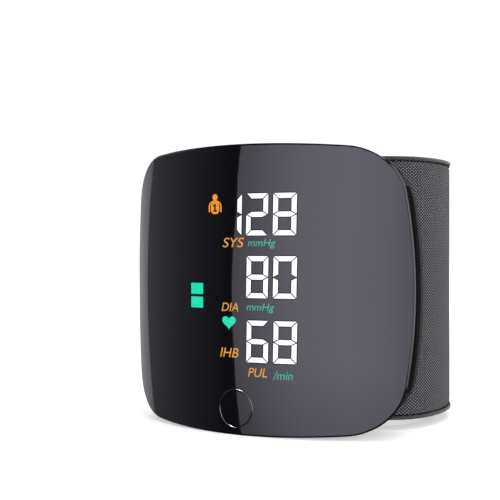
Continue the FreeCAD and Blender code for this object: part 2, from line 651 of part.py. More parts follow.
def make_pump():
    """Motor, eccentric, pump head, manifold, release valve and the tube into the cuff."""
    motor_bottom = PUMP_HEAD_TOP + END_CAP_T
    motor_top = PUMP_HEAD_TOP + MOTOR_LENGTH
    shaft_top = motor_top - MOTOR_WALL / 2
    can_inside_top = motor_top - 2 * MOTOR_WALL
    can = upright(MOTOR_R, PUMP_X, PUMP_Y, motor_bottom, motor_top)
    can = can.cut(upright(MOTOR_R - MOTOR_WALL, PUMP_X, PUMP_Y, motor_bottom - OVER, can_inside_top))
    bearing = upright(SHAFT_R + RUNNING_GAP, PUMP_X, PUMP_Y, motor_bottom, shaft_top + RUNNING_GAP)
    PARTS["motor_can"] = can.cut(bearing)
    cap = upright(MOTOR_R, PUMP_X, PUMP_Y, PUMP_HEAD_TOP, motor_bottom)
    PARTS["motor_end_cap"] = cap.cut(upright(SHAFT_R + RUNNING_GAP, PUMP_X, PUMP_Y, 0, motor_bottom + OVER))

    chamber_floor = PUMP_HEAD_TOP - CHAMBER_DEPTH
    half = PUMP_HEAD_W / 2
    head = box(PUMP_X - half, PUMP_X + half, PUMP_Y - half, PUMP_Y + half, PUMP_HEAD_BOTTOM, PUMP_HEAD_TOP)
    head = head.cut(upright(CHAMBER_R, PUMP_X, PUMP_Y, chamber_floor, PUMP_HEAD_TOP))
    nozzle = upright(AIR_NOZZLE_R, PUMP_X, PUMP_Y, PUMP_HEAD_BOTTOM - AIR_NOZZLE_L, PUMP_HEAD_BOTTOM + OVER)
    PARTS["pump_head"] = fused([head, nozzle])

    shaft_bottom = chamber_floor + ROTOR_END_GAP / 2
    shaft = upright(SHAFT_R, PUMP_X, PUMP_Y, shaft_bottom, shaft_top)
    core_top = can_inside_top - ROTOR_END_GAP
    core = upright(ROTOR_R, PUMP_X, PUMP_Y, motor_bottom + ROTOR_END_GAP, core_top)
    PARTS["motor_rotor"] = fused([shaft, core])
    eccentric_top = shaft_bottom + ECCENTRIC_T
    eccentric = upright(ECCENTRIC_R, PUMP_X + ECCENTRIC_OFFSET, PUMP_Y, shaft_bottom, eccentric_top)
    PARTS["pump_eccentric"] = eccentric.cut(upright(SHAFT_R, PUMP_X, PUMP_Y, shaft_bottom, eccentric_top))

    manifold_top = PUMP_HEAD_BOTTOM - AIR_NOZZLE_L
    manifold_bottom = manifold_top - MANIFOLD_H
    front = PUMP_Y - MANIFOLD_T / 2
    PARTS["air_manifold"] = box(MANIFOLD_LEFT, PUMP_X + half, front, front + MANIFOLD_T,
                                manifold_bottom, manifold_top)

    valve_top = manifold_bottom - VALVE_STEM_H
    valve_bottom = valve_top - VALVE_H
    half = VALVE_W / 2
    body = box(VALVE_X - half, VALVE_X + half, PUMP_Y - half, PUMP_Y + half, valve_bottom, valve_top)
    stem = upright(AIR_NOZZLE_R, VALVE_X, PUMP_Y, valve_top - OVER, manifold_bottom)
    plunger_top = valve_top - 2 * VALVE_STEM_H
    bore = upright(VALVE_PLUNGER_R + RUNNING_GAP, VALVE_X, PUMP_Y, valve_bottom, plunger_top + RUNNING_GAP)
    PARTS["valve_body"] = fused([body, stem]).cut(bore)
    plunger_end = valve_bottom - VALVE_PLUNGER_REACH
    plunger = upright(VALVE_PLUNGER_R, VALVE_X, PUMP_Y, plunger_end, plunger_top)
    head = upright(VALVE_HEAD_R, VALVE_X, PUMP_Y, plunger_end, plunger_end + VALVE_HEAD_T)
    PARTS["valve_plunger"] = fused([plunger, head])

    bladder_face = cuff_face_y(FABRIC_T + STIFFENER_T, INLET_X)
    tube = fore_aft(INLET_R, INLET_X, manifold_middle(), front + MANIFOLD_T, bladder_face + INLET_R)
    PARTS["air_inlet"] = tube.cut(cuff_prism(FABRIC_T + STIFFENER_T, FAR))


def make_screws():
    """The four screws of the case and the four that clamp the cuff to it."""
    case_screws = []
    for x, z in screw_places():
        head_face = CASE_DEPTH - SCREW_RECESS
        shank_end = head_face + SCREW_HEAD_T / 2
        shank = fore_aft(SCREW_R, x, z, behind_face(FRAME_DEPTH, CASE_SCREW_X) + SCREW_SPARE, shank_end)
        head = fore_aft(SCREW_HEAD_R, x, z, head_face, head_face + SCREW_HEAD_T)
        case_screws.append(fused([shank, head]))
    PARTS["case_screws"] = Part.makeCompound(case_screws)
    cuff_screws = []
    for x, z in cuff_screw_places():
        head_end = cuff_face_y(FABRIC_T + STIFFENER_T, x)
        shank = fore_aft(SCREW_R, x, z, cuff_face_y(0, x) - WALL - CUFF_BOSS_L + SCREW_SPARE, head_end)
        head = fore_aft(SCREW_HEAD_R, x, z, head_end - CUFF_SCREW_HEAD_T, head_end)
        screw = fused([shank, head]).cut(cuff_prism(FABRIC_T + STIFFENER_T, FAR))
        cuff_screws.append(screw)
    PARTS["cuff_screws"] = Part.makeCompound(cuff_screws)


def make_cuff():
    """Layers of the cuff: the stretch fixed to the case and the arm that swings open."""
    depths = {"outer_fabric": (0, FABRIC_T)}
    depths["stiffener"] = (FABRIC_T, FABRIC_T + STIFFENER_T)
    depths["bladder"] = (FABRIC_T + STIFFENER_T, CUFF_T - LINING_T)
    depths["lining"] = (CUFF_T - LINING_T, CUFF_T)
    for name, (outside, inside) in depths.items():
        ring = cuff_layer(outside, inside, -LAYER_HALF_HEIGHT, LAYER_HALF_HEIGHT)
        PARTS["cuff_" + name] = fixed_side(ring, BINDING_END_ANGLE)
        PARTS["arm_" + name] = arm_side(ring, BINDING_END_ANGLE)
    rings = [cuff_layer(0, CUFF_T, LAYER_HALF_HEIGHT, CUFF_HALF_HEIGHT),
             cuff_layer(0, CUFF_T, -CUFF_HALF_HEIGHT, -LAYER_HALF_HEIGHT)]
    whole = cuff_layer(0, CUFF_T, -LAYER_HALF_HEIGHT, LAYER_HALF_HEIGHT)
    fixed_end = whole.common(wedge(FIXED_END_ANGLE - BINDING_END_ANGLE, FIXED_END_ANGLE))
    arm_end = whole.common(wedge(ARM_END_ANGLE, ARM_END_ANGLE + BINDING_END_ANGLE))
    PARTS["cuff_edge_binding"] = Part.makeCompound([fixed_side(ring) for ring in rings] + [fixed_end])
    PARTS["arm_edge_binding"] = Part.makeCompound([arm_side(ring) for ring in rings] + [arm_end])

    holes = [fore_aft(INLET_R, INLET_X, manifold_middle(), 0, LOOP_Y)]
    for x, z in cuff_screw_places():
        holes.append(fore_aft(SCREW_R, x, z, 0, LOOP_Y))
    PARTS["cuff_outer_fabric"] = PARTS["cuff_outer_fabric"].cut(holes)
    for x, z in cuff_screw_places():
        head_end = cuff_face_y(FABRIC_T + STIFFENER_T, x)
        holes.append(fore_aft(SCREW_HEAD_R, x, z, head_end - CUFF_SCREW_HEAD_T, LOOP_Y))
    PARTS["cuff_stiffener"] = PARTS["cuff_stiffener"].cut(holes)

    patch_end = FLAP_TIP_ANGLE + PATCH_MARGIN_ANGLE
    patch_start = FIXED_END_ANGLE - PATCH_MARGIN_ANGLE
    hook_half_height = FLAP_HALF_HEIGHT - HOOK_PATCH_INSET
    root_start = ARM_END_ANGLE + FLAP_ROOT_MARGIN_ANGLE
    PARTS["loop_patch"] = round_band(LOOP_R, LOOP_R + LOOP_PATCH_T, FLAP_HALF_HEIGHT, patch_end, patch_start)
    PARTS["hook_patch"] = round_band(FLAP_INNER_R - HOOK_PATCH_T, FLAP_INNER_R, hook_half_height,
                                     patch_end, patch_start)
    flap = round_band(FLAP_INNER_R, FLAP_OUTER_R, FLAP_HALF_HEIGHT, FLAP_TIP_ANGLE, FLAP_ROOT_ANGLE)
    root = round_band(LOOP_R, FLAP_INNER_R + FLAP_T / 2, FLAP_HALF_HEIGHT, root_start, FLAP_ROOT_ANGLE)
    PARTS["closure_flap"] = fused([flap, root])


def main():
    """Build every piece and write one STEP file for each."""
    prisms = make_display()
    make_case(prisms)
    make_button()
    make_electronics()
    make_pump()
    make_screws()
    make_cuff()
    os.makedirs("parts", exist_ok=True)
    for name, shape in PARTS.items():
        shape.translate(TO_PART_ORIGIN)
        shape.exportStep(os.path.join("parts", name + ".step"))
        print(name, "valid" if shape.isValid() else "NOT VALID", len(shape.Solids), round(shape.Volume, 1))


main()
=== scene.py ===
"""Looks of a wrist blood pressure monitor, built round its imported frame.

A curved, glossy display case stands on a formed fabric cuff. The case, its button and everything
inside it keep their own shapes and get their finishes here. The cuff's cloth, binding, bladder, lining and
closing flap are modelled here as soft goods, and so are the lit digits, labels and icons of the display.

Lengths are in metres. X is to the right of someone reading the display, Y points from the display to the
back of the cuff, and Z is up.
"""

import json
import logging
import math
from dataclasses import dataclass
from enum import Enum
from typing import Callable

import bmesh
import bpy
from mathutils import Matrix, Vector, geometry


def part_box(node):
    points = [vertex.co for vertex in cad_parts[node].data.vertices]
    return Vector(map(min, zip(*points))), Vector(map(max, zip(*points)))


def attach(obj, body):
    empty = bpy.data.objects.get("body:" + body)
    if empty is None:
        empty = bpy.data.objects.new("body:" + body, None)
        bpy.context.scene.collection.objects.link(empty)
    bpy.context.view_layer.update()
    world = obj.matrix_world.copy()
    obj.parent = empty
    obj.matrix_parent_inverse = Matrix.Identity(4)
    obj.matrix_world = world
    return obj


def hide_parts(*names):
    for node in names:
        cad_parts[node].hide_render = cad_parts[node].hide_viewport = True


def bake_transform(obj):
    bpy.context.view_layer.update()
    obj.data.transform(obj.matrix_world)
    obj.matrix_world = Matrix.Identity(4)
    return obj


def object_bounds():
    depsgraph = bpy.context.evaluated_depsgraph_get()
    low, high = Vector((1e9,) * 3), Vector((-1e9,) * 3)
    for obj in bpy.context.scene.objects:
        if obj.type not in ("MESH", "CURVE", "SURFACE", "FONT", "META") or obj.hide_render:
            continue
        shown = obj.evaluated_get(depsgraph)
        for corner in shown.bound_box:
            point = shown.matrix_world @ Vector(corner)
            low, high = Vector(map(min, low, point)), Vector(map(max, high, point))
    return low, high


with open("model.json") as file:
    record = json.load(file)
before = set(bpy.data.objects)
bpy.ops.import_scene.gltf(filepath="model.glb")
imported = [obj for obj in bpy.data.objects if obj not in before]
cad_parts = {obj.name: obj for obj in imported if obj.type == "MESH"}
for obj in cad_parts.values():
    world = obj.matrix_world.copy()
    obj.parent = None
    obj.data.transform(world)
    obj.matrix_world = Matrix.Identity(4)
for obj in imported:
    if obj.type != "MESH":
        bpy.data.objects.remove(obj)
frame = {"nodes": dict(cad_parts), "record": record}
CAD_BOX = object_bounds()
FRONT = CAD_BOX[0].y
MID_HEIGHT = (CAD_BOX[0].z + CAD_BOX[1].z) / 2
MM = 0.001
WELD = 0.001 * MM
UP = Vector((0.0, 0.0, 1.0))
log = logging.getLogger("monitor")


class Body(str, Enum):
    """The moving bodies that a piece can ride on."""

    CASE = "case"
    ARM = "cuff_arm"


# ---------------------------------------------------------------- mesh helpers


def deselect() -> None:
    """Leave edit mode and select nothing."""
    if bpy.context.object is not None and bpy.context.object.mode != "OBJECT":
        bpy.ops.object.mode_set(mode="OBJECT")
    bpy.ops.object.select_all(action="DESELECT")


def activate(piece: bpy.types.Object) -> None:
    """Make one object the only selected and active one.

    Args:
        piece: the piece.
    """
    deselect()
    piece.select_set(True)
    bpy.context.view_layer.objects.active = piece


def added(name: str) -> bpy.types.Object:
    """Name the primitive that was just added.

    Args:
        name: the piece's name.

    Returns:
        The new object, with a mesh of the same name.
    """
    piece = bpy.context.object
    piece.name = name
    piece.data.name = name
    return piece


def apply_modifier(piece: bpy.types.Object, kind: str, **settings: object) -> None:
    """Add a modifier, set it and apply it.

    Args:
        piece: the object to change.
        kind: the modifier's type.
        settings: its properties and their values.
    """
    activate(piece)
    modifier = piece.modifiers.new(kind.title(), kind)
    for key, value in settings.items():
        setattr(modifier, key, value)
    bpy.ops.object.modifier_apply(modifier=modifier.name)


def shade(piece: bpy.types.Object, degrees: float = 35.0) -> None:
    """Shade smooth, and keep edges sharper than an angle."""
    activate(piece)
    bpy.ops.object.shade_smooth_by_angle(angle=math.radians(degrees))


def edit(piece: bpy.types.Object, *steps: Callable[[], object]) -> None:
    """Run steps in edit mode on everything that the piece has.

    Args:
        piece: the piece.
        steps: what to run, in order.
    """
    activate(piece)
    bpy.ops.object.mode_set(mode="EDIT")
    bpy.ops.mesh.select_all(action="SELECT")
    for step in steps:
        step()
    bpy.ops.object.mode_set(mode="OBJECT")


def weld() -> None:
    """In edit mode, merge corners that coincide."""
    bpy.ops.mesh.remove_doubles(threshold=WELD)


def bridge_open_ends() -> None:
    """In edit mode, close a shell by bridging its two open loops."""
    bpy.ops.mesh.select_all(action="DESELECT")
    bpy.ops.mesh.select_non_manifold()
    bpy.ops.mesh.bridge_edge_loops()


def face_outwards() -> None:
    """In edit mode, turn every face outwards."""
    bpy.ops.mesh.select_all(action="SELECT")
    bpy.ops.mesh.normals_make_consistent(inside=False)


def mapped_grid(name: str, across: int, along: int, place: Callable[[float, float], Vector],
                flat: Callable[[float, float], tuple[float, float]] | None = None) -> bpy.types.Object:
    """Add a grid and lay it over a surface.

    Args:
        name: the piece's name.
        across: cells in the first direction.
        along: cells in the second direction.
        place: gives a point for a share of each direction, from 0 to 1.
        flat: gives the cloth coordinates of the same point, in metres.

    Returns:
        The grid, with its place in its mesh.
    """
    deselect()
    bpy.ops.mesh.primitive_grid_add(x_subdivisions=across, y_subdivisions=along, size=1.0)
    piece = added(name)
    mesh = piece.data
    shares = [(v.co.x + 0.5, v.co.y + 0.5) for v in mesh.vertices]
    if flat is not None:
        layer = mesh.uv_layers.active
        layer.name = "cloth"
        for loop in mesh.loops:
            layer.data[loop.index].uv = flat(*shares[loop.vertex_index])
    for vertex, (u, v) in zip(mesh.vertices, shares):
        vertex.co = place(u, v)
    mesh.update()
    return piece


def joined(name: str, template: bpy.types.Object, places: list[Matrix]) -> bpy.types.Object:
    """Copy a small shape to many places as one piece, and remove the template.

    Args:
        name: the piece's name.
        template: the shape, about its own origin.
        places: where each copy goes.

    Returns:
        The piece that holds all copies.
    """
    mesh = bpy.data.meshes.new(name)
    builder = bmesh.new()
    for place in places:
        copy = template.data.copy()
        copy.transform(place)
        builder.from_mesh(copy)
        bpy.data.meshes.remove(copy)
    builder.to_mesh(mesh)
    builder.free()
    bpy.data.objects.remove(template)
    piece = bpy.data.objects.new(name, mesh)
    bpy.context.scene.collection.objects.link(piece)
    return piece


def stitched(name: str, length: float, width: float, places: list[Matrix]) -> bpy.types.Object:
    """A row of stitches, each a small rounded bar of thread.

    Args:
        name: the piece's name.
        length: a stitch's length.
        width: a stitch's width.
        places: where each stitch goes.

    Returns:
        The row as one piece.
    """
    thread_height = 0.34 * MM
    deselect()
    bpy.ops.mesh.primitive_uv_sphere_add(segments=8, ring_count=6, radius=0.5)
    template = added("stitch")
    template.data.transform(Matrix.Diagonal((length, width, thread_height, 1.0)))
    piece = joined(name, template, places)
    shade(piece, 80.0)
    return piece


def finished(piece: bpy.types.Object, material: bpy.types.Material, body: Body, slot: str, *nodes: str,
             bend: tuple[Vector, Vector] | None = None) -> bpy.types.Object:
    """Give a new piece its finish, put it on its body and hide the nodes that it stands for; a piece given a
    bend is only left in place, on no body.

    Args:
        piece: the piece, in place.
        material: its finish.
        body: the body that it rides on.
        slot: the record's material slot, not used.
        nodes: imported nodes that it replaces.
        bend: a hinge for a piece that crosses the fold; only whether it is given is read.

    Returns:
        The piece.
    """
    piece.data.materials.clear()
    piece.data.materials.append(material)
    if bend is None:
        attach(piece, body.value)
    else:
        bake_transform(piece)
    if nodes:
        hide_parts(*nodes)
    log.info("%s: %d faces on %s", piece.name, len(piece.data.polygons), body.value)
    return piece


# ------------------------------------------------------------ shader helpers


class Tree:
    """A node tree with short ways to add, set and link its nodes."""

    def __init__(self, tree: bpy.types.NodeTree) -> None:
        """Keep the tree that the nodes go in."""
        self.tree = tree

    def add(self, kind: str, inputs: dict[str | int, object] | None = None,
            **settings: object) -> bpy.types.Node:
        """Add a node.

        Args:
            kind: the node's type, without its ShaderNode prefix.
            inputs: values or sockets for its inputs.
            settings: its properties.

        Returns:
            The node.
        """
        node = self.tree.nodes.new("ShaderNode" + kind)
        for key, value in settings.items():
            setattr(node, key, value)
        for key, value in (inputs or {}).items():
            self.put(value, node.inputs[key])
        return node

    def put(self, value: object, socket: bpy.types.NodeSocket) -> None:
        """Link a socket, or set a plain value.

        Args:
            value: the socket or the plain value.
            socket: the input that takes it.
        """
        if isinstance(value, bpy.types.NodeSocket):
            self.tree.links.new(value, socket)
        else:
            socket.default_value = value

    def maths(self, operation: str, first: object, second: object = 0.0) -> bpy.types.NodeSocket:
        """Add a Math node and return its result."""
        return self.add("Math", {0: first, 1: second}, operation=operation).outputs[0]

    def noise(self, place: bpy.types.NodeSocket, scale: float, detail: float = 3.0,
              roughness: float = 0.5) -> bpy.types.NodeSocket:
        """Add a Noise Texture and return its value."""
        look = {"Vector": place, "Scale": scale, "Detail": detail, "Roughness": roughness}
        return self.add("TexNoise", look).outputs["Fac"]

    def ranged(self, value: bpy.types.NodeSocket, low: float, high: float, out_low: float,
               out_high: float) -> bpy.types.NodeSocket:
        """Map a range of a value onto another range, and clamp it there.

        Args:
            value: the socket or the plain value.
            low: start of the range.
            high: end of the range.
            out_low: what the start becomes.
            out_high: what the end becomes.

        Returns:
            The mapped value.
        """
        node = self.add("MapRange", {"Value": value, "From Min": low, "From Max": high, "To Min": out_low,
                                     "To Max": out_high})
        return node.outputs["Result"]

    def blended(self, share: object, first: object, second: object) -> bpy.types.NodeSocket:
        """Mix two colours by a share."""
        return self.add("Mix", {0: share, 6: first, 7: second}, data_type="RGBA").outputs[2]


def new_group(name: str, inputs: dict[str, tuple[str, float]],
              outputs: dict[str, str]) -> tuple[Tree, dict[str, bpy.types.NodeSocket], bpy.types.Node]:
    """Start a shader node group.

    Args:
        name: the group's name.
        inputs: type and starting value of each input.
        outputs: type of each output.

    Returns:
        Its tree, the sockets of its inputs by name, and its output node.
    """
    group = bpy.data.node_groups.new(name, "ShaderNodeTree")
    for key, (kind, value) in inputs.items():
        socket = group.interface.new_socket(key, in_out="INPUT", socket_type="NodeSocket" + kind)
        if kind == "Float":
            socket.default_value = value
    for key, kind in outputs.items():
        group.interface.new_socket(key, in_out="OUTPUT", socket_type="NodeSocket" + kind)
    source = group.nodes.new("NodeGroupInput")
    sink = group.nodes.new("NodeGroupOutput")
    return Tree(group), {s.name: s for s in source.outputs}, sink


def grain_group() -> bpy.types.NodeTree:
    """Moulded grain: fine pits and a slower unevenness.

    Returns:
        A group that gives a height and a mask that change over the surface.
    """
    tree, given, sink = new_group("moulded_grain", {"Place": ("Vector", 0), "Scale": ("Float", 4000.0)},
                                  {"Height": "Float", "Mask": "Float"})
    fine = tree.noise(given["Place"], given["Scale"], 2.0, 0.6)
    slow = tree.noise(given["Place"], tree.maths("MULTIPLY", given["Scale"], 0.02), 3.0)
    pits = tree.maths("ADD", tree.maths("MULTIPLY", fine, 0.8), tree.maths("MULTIPLY", slow, 0.2))
    tree.put(pits, sink.inputs[0])
    tree.put(tree.ranged(slow, 0.35, 0.65, 0.0, 1.0), sink.inputs[1])
    return tree.tree


def handling_group() -> bpy.types.NodeTree:
    """Traces of handling on a glossy face: faint wiped streaks and specks of dust.

    Returns:
        A group that gives a streak mask and a dust mask.
    """
    tree, given, sink = new_group("handling_marks", {"Place": ("Vector", 0), "Stretch": ("Float", 6.0)},
                                  {"Streaks": "Float", "Dust": "Float"})
    parts = tree.add("SeparateXYZ", {"Vector": given["Place"]})
    long = tree.maths("MULTIPLY", parts.outputs["Z"], given["Stretch"])
    turned = tree.add("CombineXYZ", {"X": parts.outputs["X"], "Y": parts.outputs["Y"], "Z": long})
    streaks = tree.noise(turned.outputs[0], 34.0, 5.0, 0.55)
    specks = tree.add("TexVoronoi", {"Vector": given["Place"], "Scale": 900.0})
    tree.put(tree.ranged(streaks, 0.45, 0.75, 0.0, 1.0), sink.inputs[0])
    tree.put(tree.ranged(specks.outputs["Distance"], 0.0, 0.055, 1.0, 0.0), sink.inputs[1])
    return tree.tree


def weave_group() -> bpy.types.NodeTree:
    """A plain weave: warp threads up the cloth, weft threads along it, over and under by turns.

    Returns:
        A group that gives the weave's height, a mask of raised threads that the colour follows as painted
        shade, and each thread's own shade.
    """
    tree, given, sink = new_group(
        "plain_weave",
        {"Cloth": ("Vector", 0), "Warp pitch": ("Float", 0.001), "Weft pitch": ("Float", 0.001),
         "Weft level": ("Float", 0.6)},
        {"Height": "Float", "Painted shade by height": "Float", "Shade": "Float"})
    parts = tree.add("SeparateXYZ", {"Vector": given["Cloth"]})
    across = tree.maths("DIVIDE", parts.outputs["X"], given["Warp pitch"])
    up = tree.maths("DIVIDE", parts.outputs["Y"], given["Weft pitch"])
    cell_x = tree.maths("FLOOR", across)
    cell_y = tree.maths("FLOOR", up)
    odd = tree.maths("FLOORED_MODULO", tree.maths("ADD", cell_x, cell_y), 2.0)
    hump_x = tree.maths("SINE", tree.maths("MULTIPLY", tree.maths("FRACT", across), math.pi))
    hump_y = tree.maths("SINE", tree.maths("MULTIPLY", tree.maths("FRACT", up), math.pi))
    long_x = tree.maths("POWER", hump_x, 0.6)
    long_y = tree.maths("POWER", hump_y, 0.6)
    warp_over = tree.maths("SUBTRACT", 1.0, odd)
    weft_over = tree.maths("MULTIPLY", odd, given["Weft level"])
    warp = tree.maths("MULTIPLY", tree.maths("MULTIPLY", hump_x, long_y), warp_over)
    weft = tree.maths("MULTIPLY", tree.maths("MULTIPLY", long_x, hump_y), weft_over)
    height = tree.maths("ADD", warp, weft)
    thread = tree.add("CombineXYZ", {"X": tree.maths("MULTIPLY", cell_x, 0.731),
                                     "Y": tree.maths("MULTIPLY", cell_y, 0.417)})
    shade_of = tree.add("TexWhiteNoise", {"Vector": thread.outputs[0]}, noise_dimensions="3D")
    tree.put(height, sink.inputs[0])
    # Mask for the painted shade: the square of the weave's height.
    tree.put(tree.maths("MULTIPLY", height, height), sink.inputs[1])
    tree.put(shade_of.outputs["Value"], sink.inputs[2])
    return tree.tree


class Groups:
    """The effects that several finishes share, each built once."""

    grain: bpy.types.NodeTree
    handling: bpy.types.NodeTree
    weave: bpy.types.NodeTree

    @classmethod
    def build(cls) -> None:
        """Build the shared groups."""
        cls.grain = grain_group()
        cls.handling = handling_group()
        cls.weave = weave_group()


Colour = tuple[float, float, float]
TRIM = "polished_trim"


def rgba(colour: Colour, scale: float = 1.0) -> tuple[float, float, float, float]:
    """A colour as a socket value, made lighter or darker by a factor."""
    return (colour[0] * scale, colour[1] * scale, colour[2] * scale, 1.0)


class Surface(Tree):
    """A new material's tree, with its Principled node."""

    def __init__(self, name: str) -> None:
        """Start a material of this name.

        Args:
            name: the material's name.
        """
        self.material = bpy.data.materials.new(name)
        self.material.use_nodes = True
        super().__init__(self.material.node_tree)
        self.shader = self.tree.nodes["Principled BSDF"]

    def place(self) -> bpy.types.NodeSocket:
        """The place on the object."""
        return self.add("TexCoord").outputs["Object"]

    def cloth(self) -> bpy.types.NodeSocket:
        """The place in the piece's own cloth coordinates."""
        return self.add("UVMap", uv_map="cloth").outputs["UV"]

    def give(self, inputs: dict[str, object]) -> None:
        """Link or set inputs of the Principled node."""
        for key, value in inputs.items():
            self.put(value, self.shader.inputs[key])

    def bump(self, height: bpy.types.NodeSocket, strength: float, depth: float) -> None:
        """Raise the surface by a height."""
        bump = self.add("Bump", {"Height": height, "Strength": strength, "Distance": depth})
        self.give({"Normal": bump.outputs["Normal"]})

    def grained(self, place: bpy.types.NodeSocket, colour: Colour, scale: float,
                uneven: float = 0.15) -> tuple[bpy.types.NodeSocket, bpy.types.NodeSocket]:
        """Lay moulded grain over a colour.

        Args:
            place: the place on the object.
            colour: the middle colour.
            scale: the grain's scale.
            uneven: how far the shade strays.

        Returns:
            The colour and the height of the grain.
        """
        grain = self.add("Group", {"Place": place, "Scale": scale}, node_tree=Groups.grain)
        shades = rgba(colour, 1 - uneven), rgba(colour, 1 + uneven)
        return self.blended(grain.outputs["Mask"], *shades), grain.outputs["Height"]

    def roughness_by(self, height: bpy.types.NodeSocket, low: float, high: float) -> bpy.types.NodeSocket:
        """A roughness that follows the grain's height between two values."""
        return self.ranged(height, 0.2, 0.8, low, high)


@dataclass(frozen=True)
class Moulded:
    """Moulded plastic or rubber with a fine grain."""

    name: str
    colour: Colour
    roughness: float = 0.45
    scale: float = 3800.0
    depth: float = 0.02 * MM
    uneven: float = 0.16
    specular: float = 0.5

    def build(self) -> bpy.types.Material:
        """Build the material.

        Returns:
            The material.
        """
        surface = Surface(self.name)
        colour, height = surface.grained(surface.place(), self.colour, self.scale, self.uneven)
        rough = surface.roughness_by(height, self.roughness - 0.06, self.roughness + 0.08)
        surface.give({"Base Color": colour, "Roughness": rough, "Specular IOR Level": self.specular})
        surface.bump(height, 0.5, self.depth)
        return surface.material


@dataclass(frozen=True)
class PaintedGrooveShade:
    """Moulded plastic with painted shade in its side grooves: near black between two levels, in front of a
    depth, as if the grooves lay in deep shadow.
    """

    name: str
    colour: Colour
    half_length: float
    back: float
    roughness: float = 0.55
    specular: float = 0.2
    # Colour of the painted shade in the grooves.
    black: Colour = (0.0005, 0.0005, 0.0006)

    def build(self) -> bpy.types.Material:
        """Build the material.

        Returns:
            The material.
        """
        surface = Surface(self.name)
        place = surface.place()
        parts = surface.add("SeparateXYZ", {"Vector": place})
        # Painted shade: a mask of the side grooves, which are coloured near black as if in shadow.
        off = surface.maths("ABSOLUTE", surface.maths("SUBTRACT", parts.outputs["Z"], MID_HEIGHT))
        inside = surface.maths("MULTIPLY", surface.maths("LESS_THAN", off, self.half_length),
                               surface.maths("LESS_THAN", parts.outputs["Y"], FRONT + self.back))
        shell, height = surface.grained(place, self.colour, 3600.0)
        rough = surface.roughness_by(height, self.roughness - 0.05, self.roughness + 0.1)
        # The grooves take the painted shade colour and full roughness.
        surface.give({"Base Color": surface.blended(inside, shell, rgba(self.black)),
                      "Roughness": surface.maths("MAXIMUM", rough, inside),
                      "Specular IOR Level": self.specular})
        surface.bump(height, 0.5, 0.02 * MM)
        return surface.material


@dataclass(frozen=True)
class Gloss:
    """Polished dark cover, with faint wiped streaks and dust."""

    name: str
    colour: Colour
    roughness: float = 0.03
    tint: Colour = (0.93, 0.91, 1.1)
    dust: Colour = (0.03, 0.03, 0.034)

    def build(self) -> bpy.types.Material:
        """Build the material.

        Returns:
            The material.
        """
        surface = Surface(self.name)
        place = surface.place()
        marks = surface.add("Group", {"Place": place, "Stretch": 0.25}, node_tree=Groups.handling)
        cloud = surface.noise(place, 22.0, 2.0)
        tinted = surface.blended(cloud, rgba(self.colour, 0.75), rgba(self.colour, 1.25))
        few = surface.maths("MULTIPLY", marks.outputs["Dust"], 0.18)
        rough = surface.ranged(marks.outputs["Streaks"], 0.0, 1.0, self.roughness, self.roughness + 0.035)
        surface.give({"Base Color": surface.blended(few, tinted, rgba(self.dust)), "Roughness": rough,
                      "Specular Tint": rgba(self.tint)})
        return surface.material


@dataclass(frozen=True)
class Metal:
    """Plated, foil or turned metal with fine scratches along one axis."""

    name: str
    colour: Colour
    roughness: float = 0.25
    stretch: float = 12.0

    def build(self) -> bpy.types.Material:
        """Build the material.

        Returns:
            The material.
        """
        surface = Surface(self.name)
        turned = surface.add("Mapping", {"Vector": surface.place(), "Scale": (1.0, 1.0, 1.0 / self.stretch)})
        lines = surface.noise(turned.outputs[0], 5200.0, 2.0)
        rough = surface.ranged(lines, 0.3, 0.7, self.roughness * 0.7, self.roughness * 1.3)
        surface.give({"Base Color": surface.blended(lines, rgba(self.colour, 0.82), rgba(self.colour, 1.08)),
                      "Roughness": rough, "Metallic": 1.0})
        surface.bump(lines, 0.2, 0.004 * MM)
        return surface.material


@dataclass(frozen=True)
class Lit:
    """A printed window lit from behind, a little brighter in the middle of its cell."""

    name: str
    colour: Colour
    strength: float = 1.0

    def build(self) -> bpy.types.Material:
        """Build the material.

        Returns:
            The material.
        """
        surface = Surface(self.name)
        cell = surface.noise(surface.place(), 260.0, 1.0)
        middle = surface.ranged(cell, 0.3, 0.7, 0.0, 1.0)
        dim, bright = rgba(self.colour, 0.93), rgba(self.colour, 1.05)
        surface.give({"Emission Color": surface.blended(middle, dim, bright),
                      "Base Color": surface.blended(cell, rgba(self.colour, 0.1), rgba(self.colour, 0.14)),
                      "Emission Strength": self.strength, "Roughness": 0.35})
        return surface.material


@dataclass(frozen=True)
class Woven:
    """Woven cloth or tape, laid out in the piece's own cloth coordinates, its colour dark in the dips between
    threads and light on their crowns by the weave's height: painted shade over the cloth's own tones.
    """

    name: str
    dark: Colour
    light: Colour
    warp: float
    weft: float
    depth: float = 0.12 * MM
    weft_level: float = 0.6
    sheen: float = 0.2
    specular: float = 0.3
    roughness: float = 0.75

    def build(self) -> bpy.types.Material:
        """Build the material.

        Returns:
            The material.
        """
        surface = Surface(self.name)
        cloth = surface.cloth()
        weave = surface.add("Group", {"Cloth": cloth, "Warp pitch": self.warp, "Weft pitch": self.weft,
                                      "Weft level": self.weft_level}, node_tree=Groups.weave)
        # Painted shade: dark in the dips between threads, light on their crowns, by the weave's height.
        threads = surface.blended(weave.outputs["Painted shade by height"], rgba(self.dark), rgba(self.light))
        thread_shade = surface.ranged(weave.outputs["Shade"], 0.0, 1.0, 0.0, 0.14)
        uneven = surface.ranged(surface.noise(cloth, 130.0, 4.0), 0.3, 0.7, 0.0, 0.1)
        shaded = surface.blended(thread_shade, threads, rgba(self.dark, 1.3))
        fibres = surface.noise(cloth, 9000.0, 2.0)
        rough = surface.ranged(fibres, 0.3, 0.7, self.roughness - 0.08, self.roughness + 0.15)
        surface.give({"Base Color": surface.blended(uneven, shaded, rgba(self.light, 0.3)),
                      "Roughness": rough, "Sheen Weight": self.sheen, "Sheen Roughness": 0.45,
                      "Specular IOR Level": self.specular})
        relief = surface.maths("ADD", weave.outputs["Height"], surface.maths("MULTIPLY", fibres, 0.15))
        surface.bump(relief, 0.9, self.depth)
        return surface.material


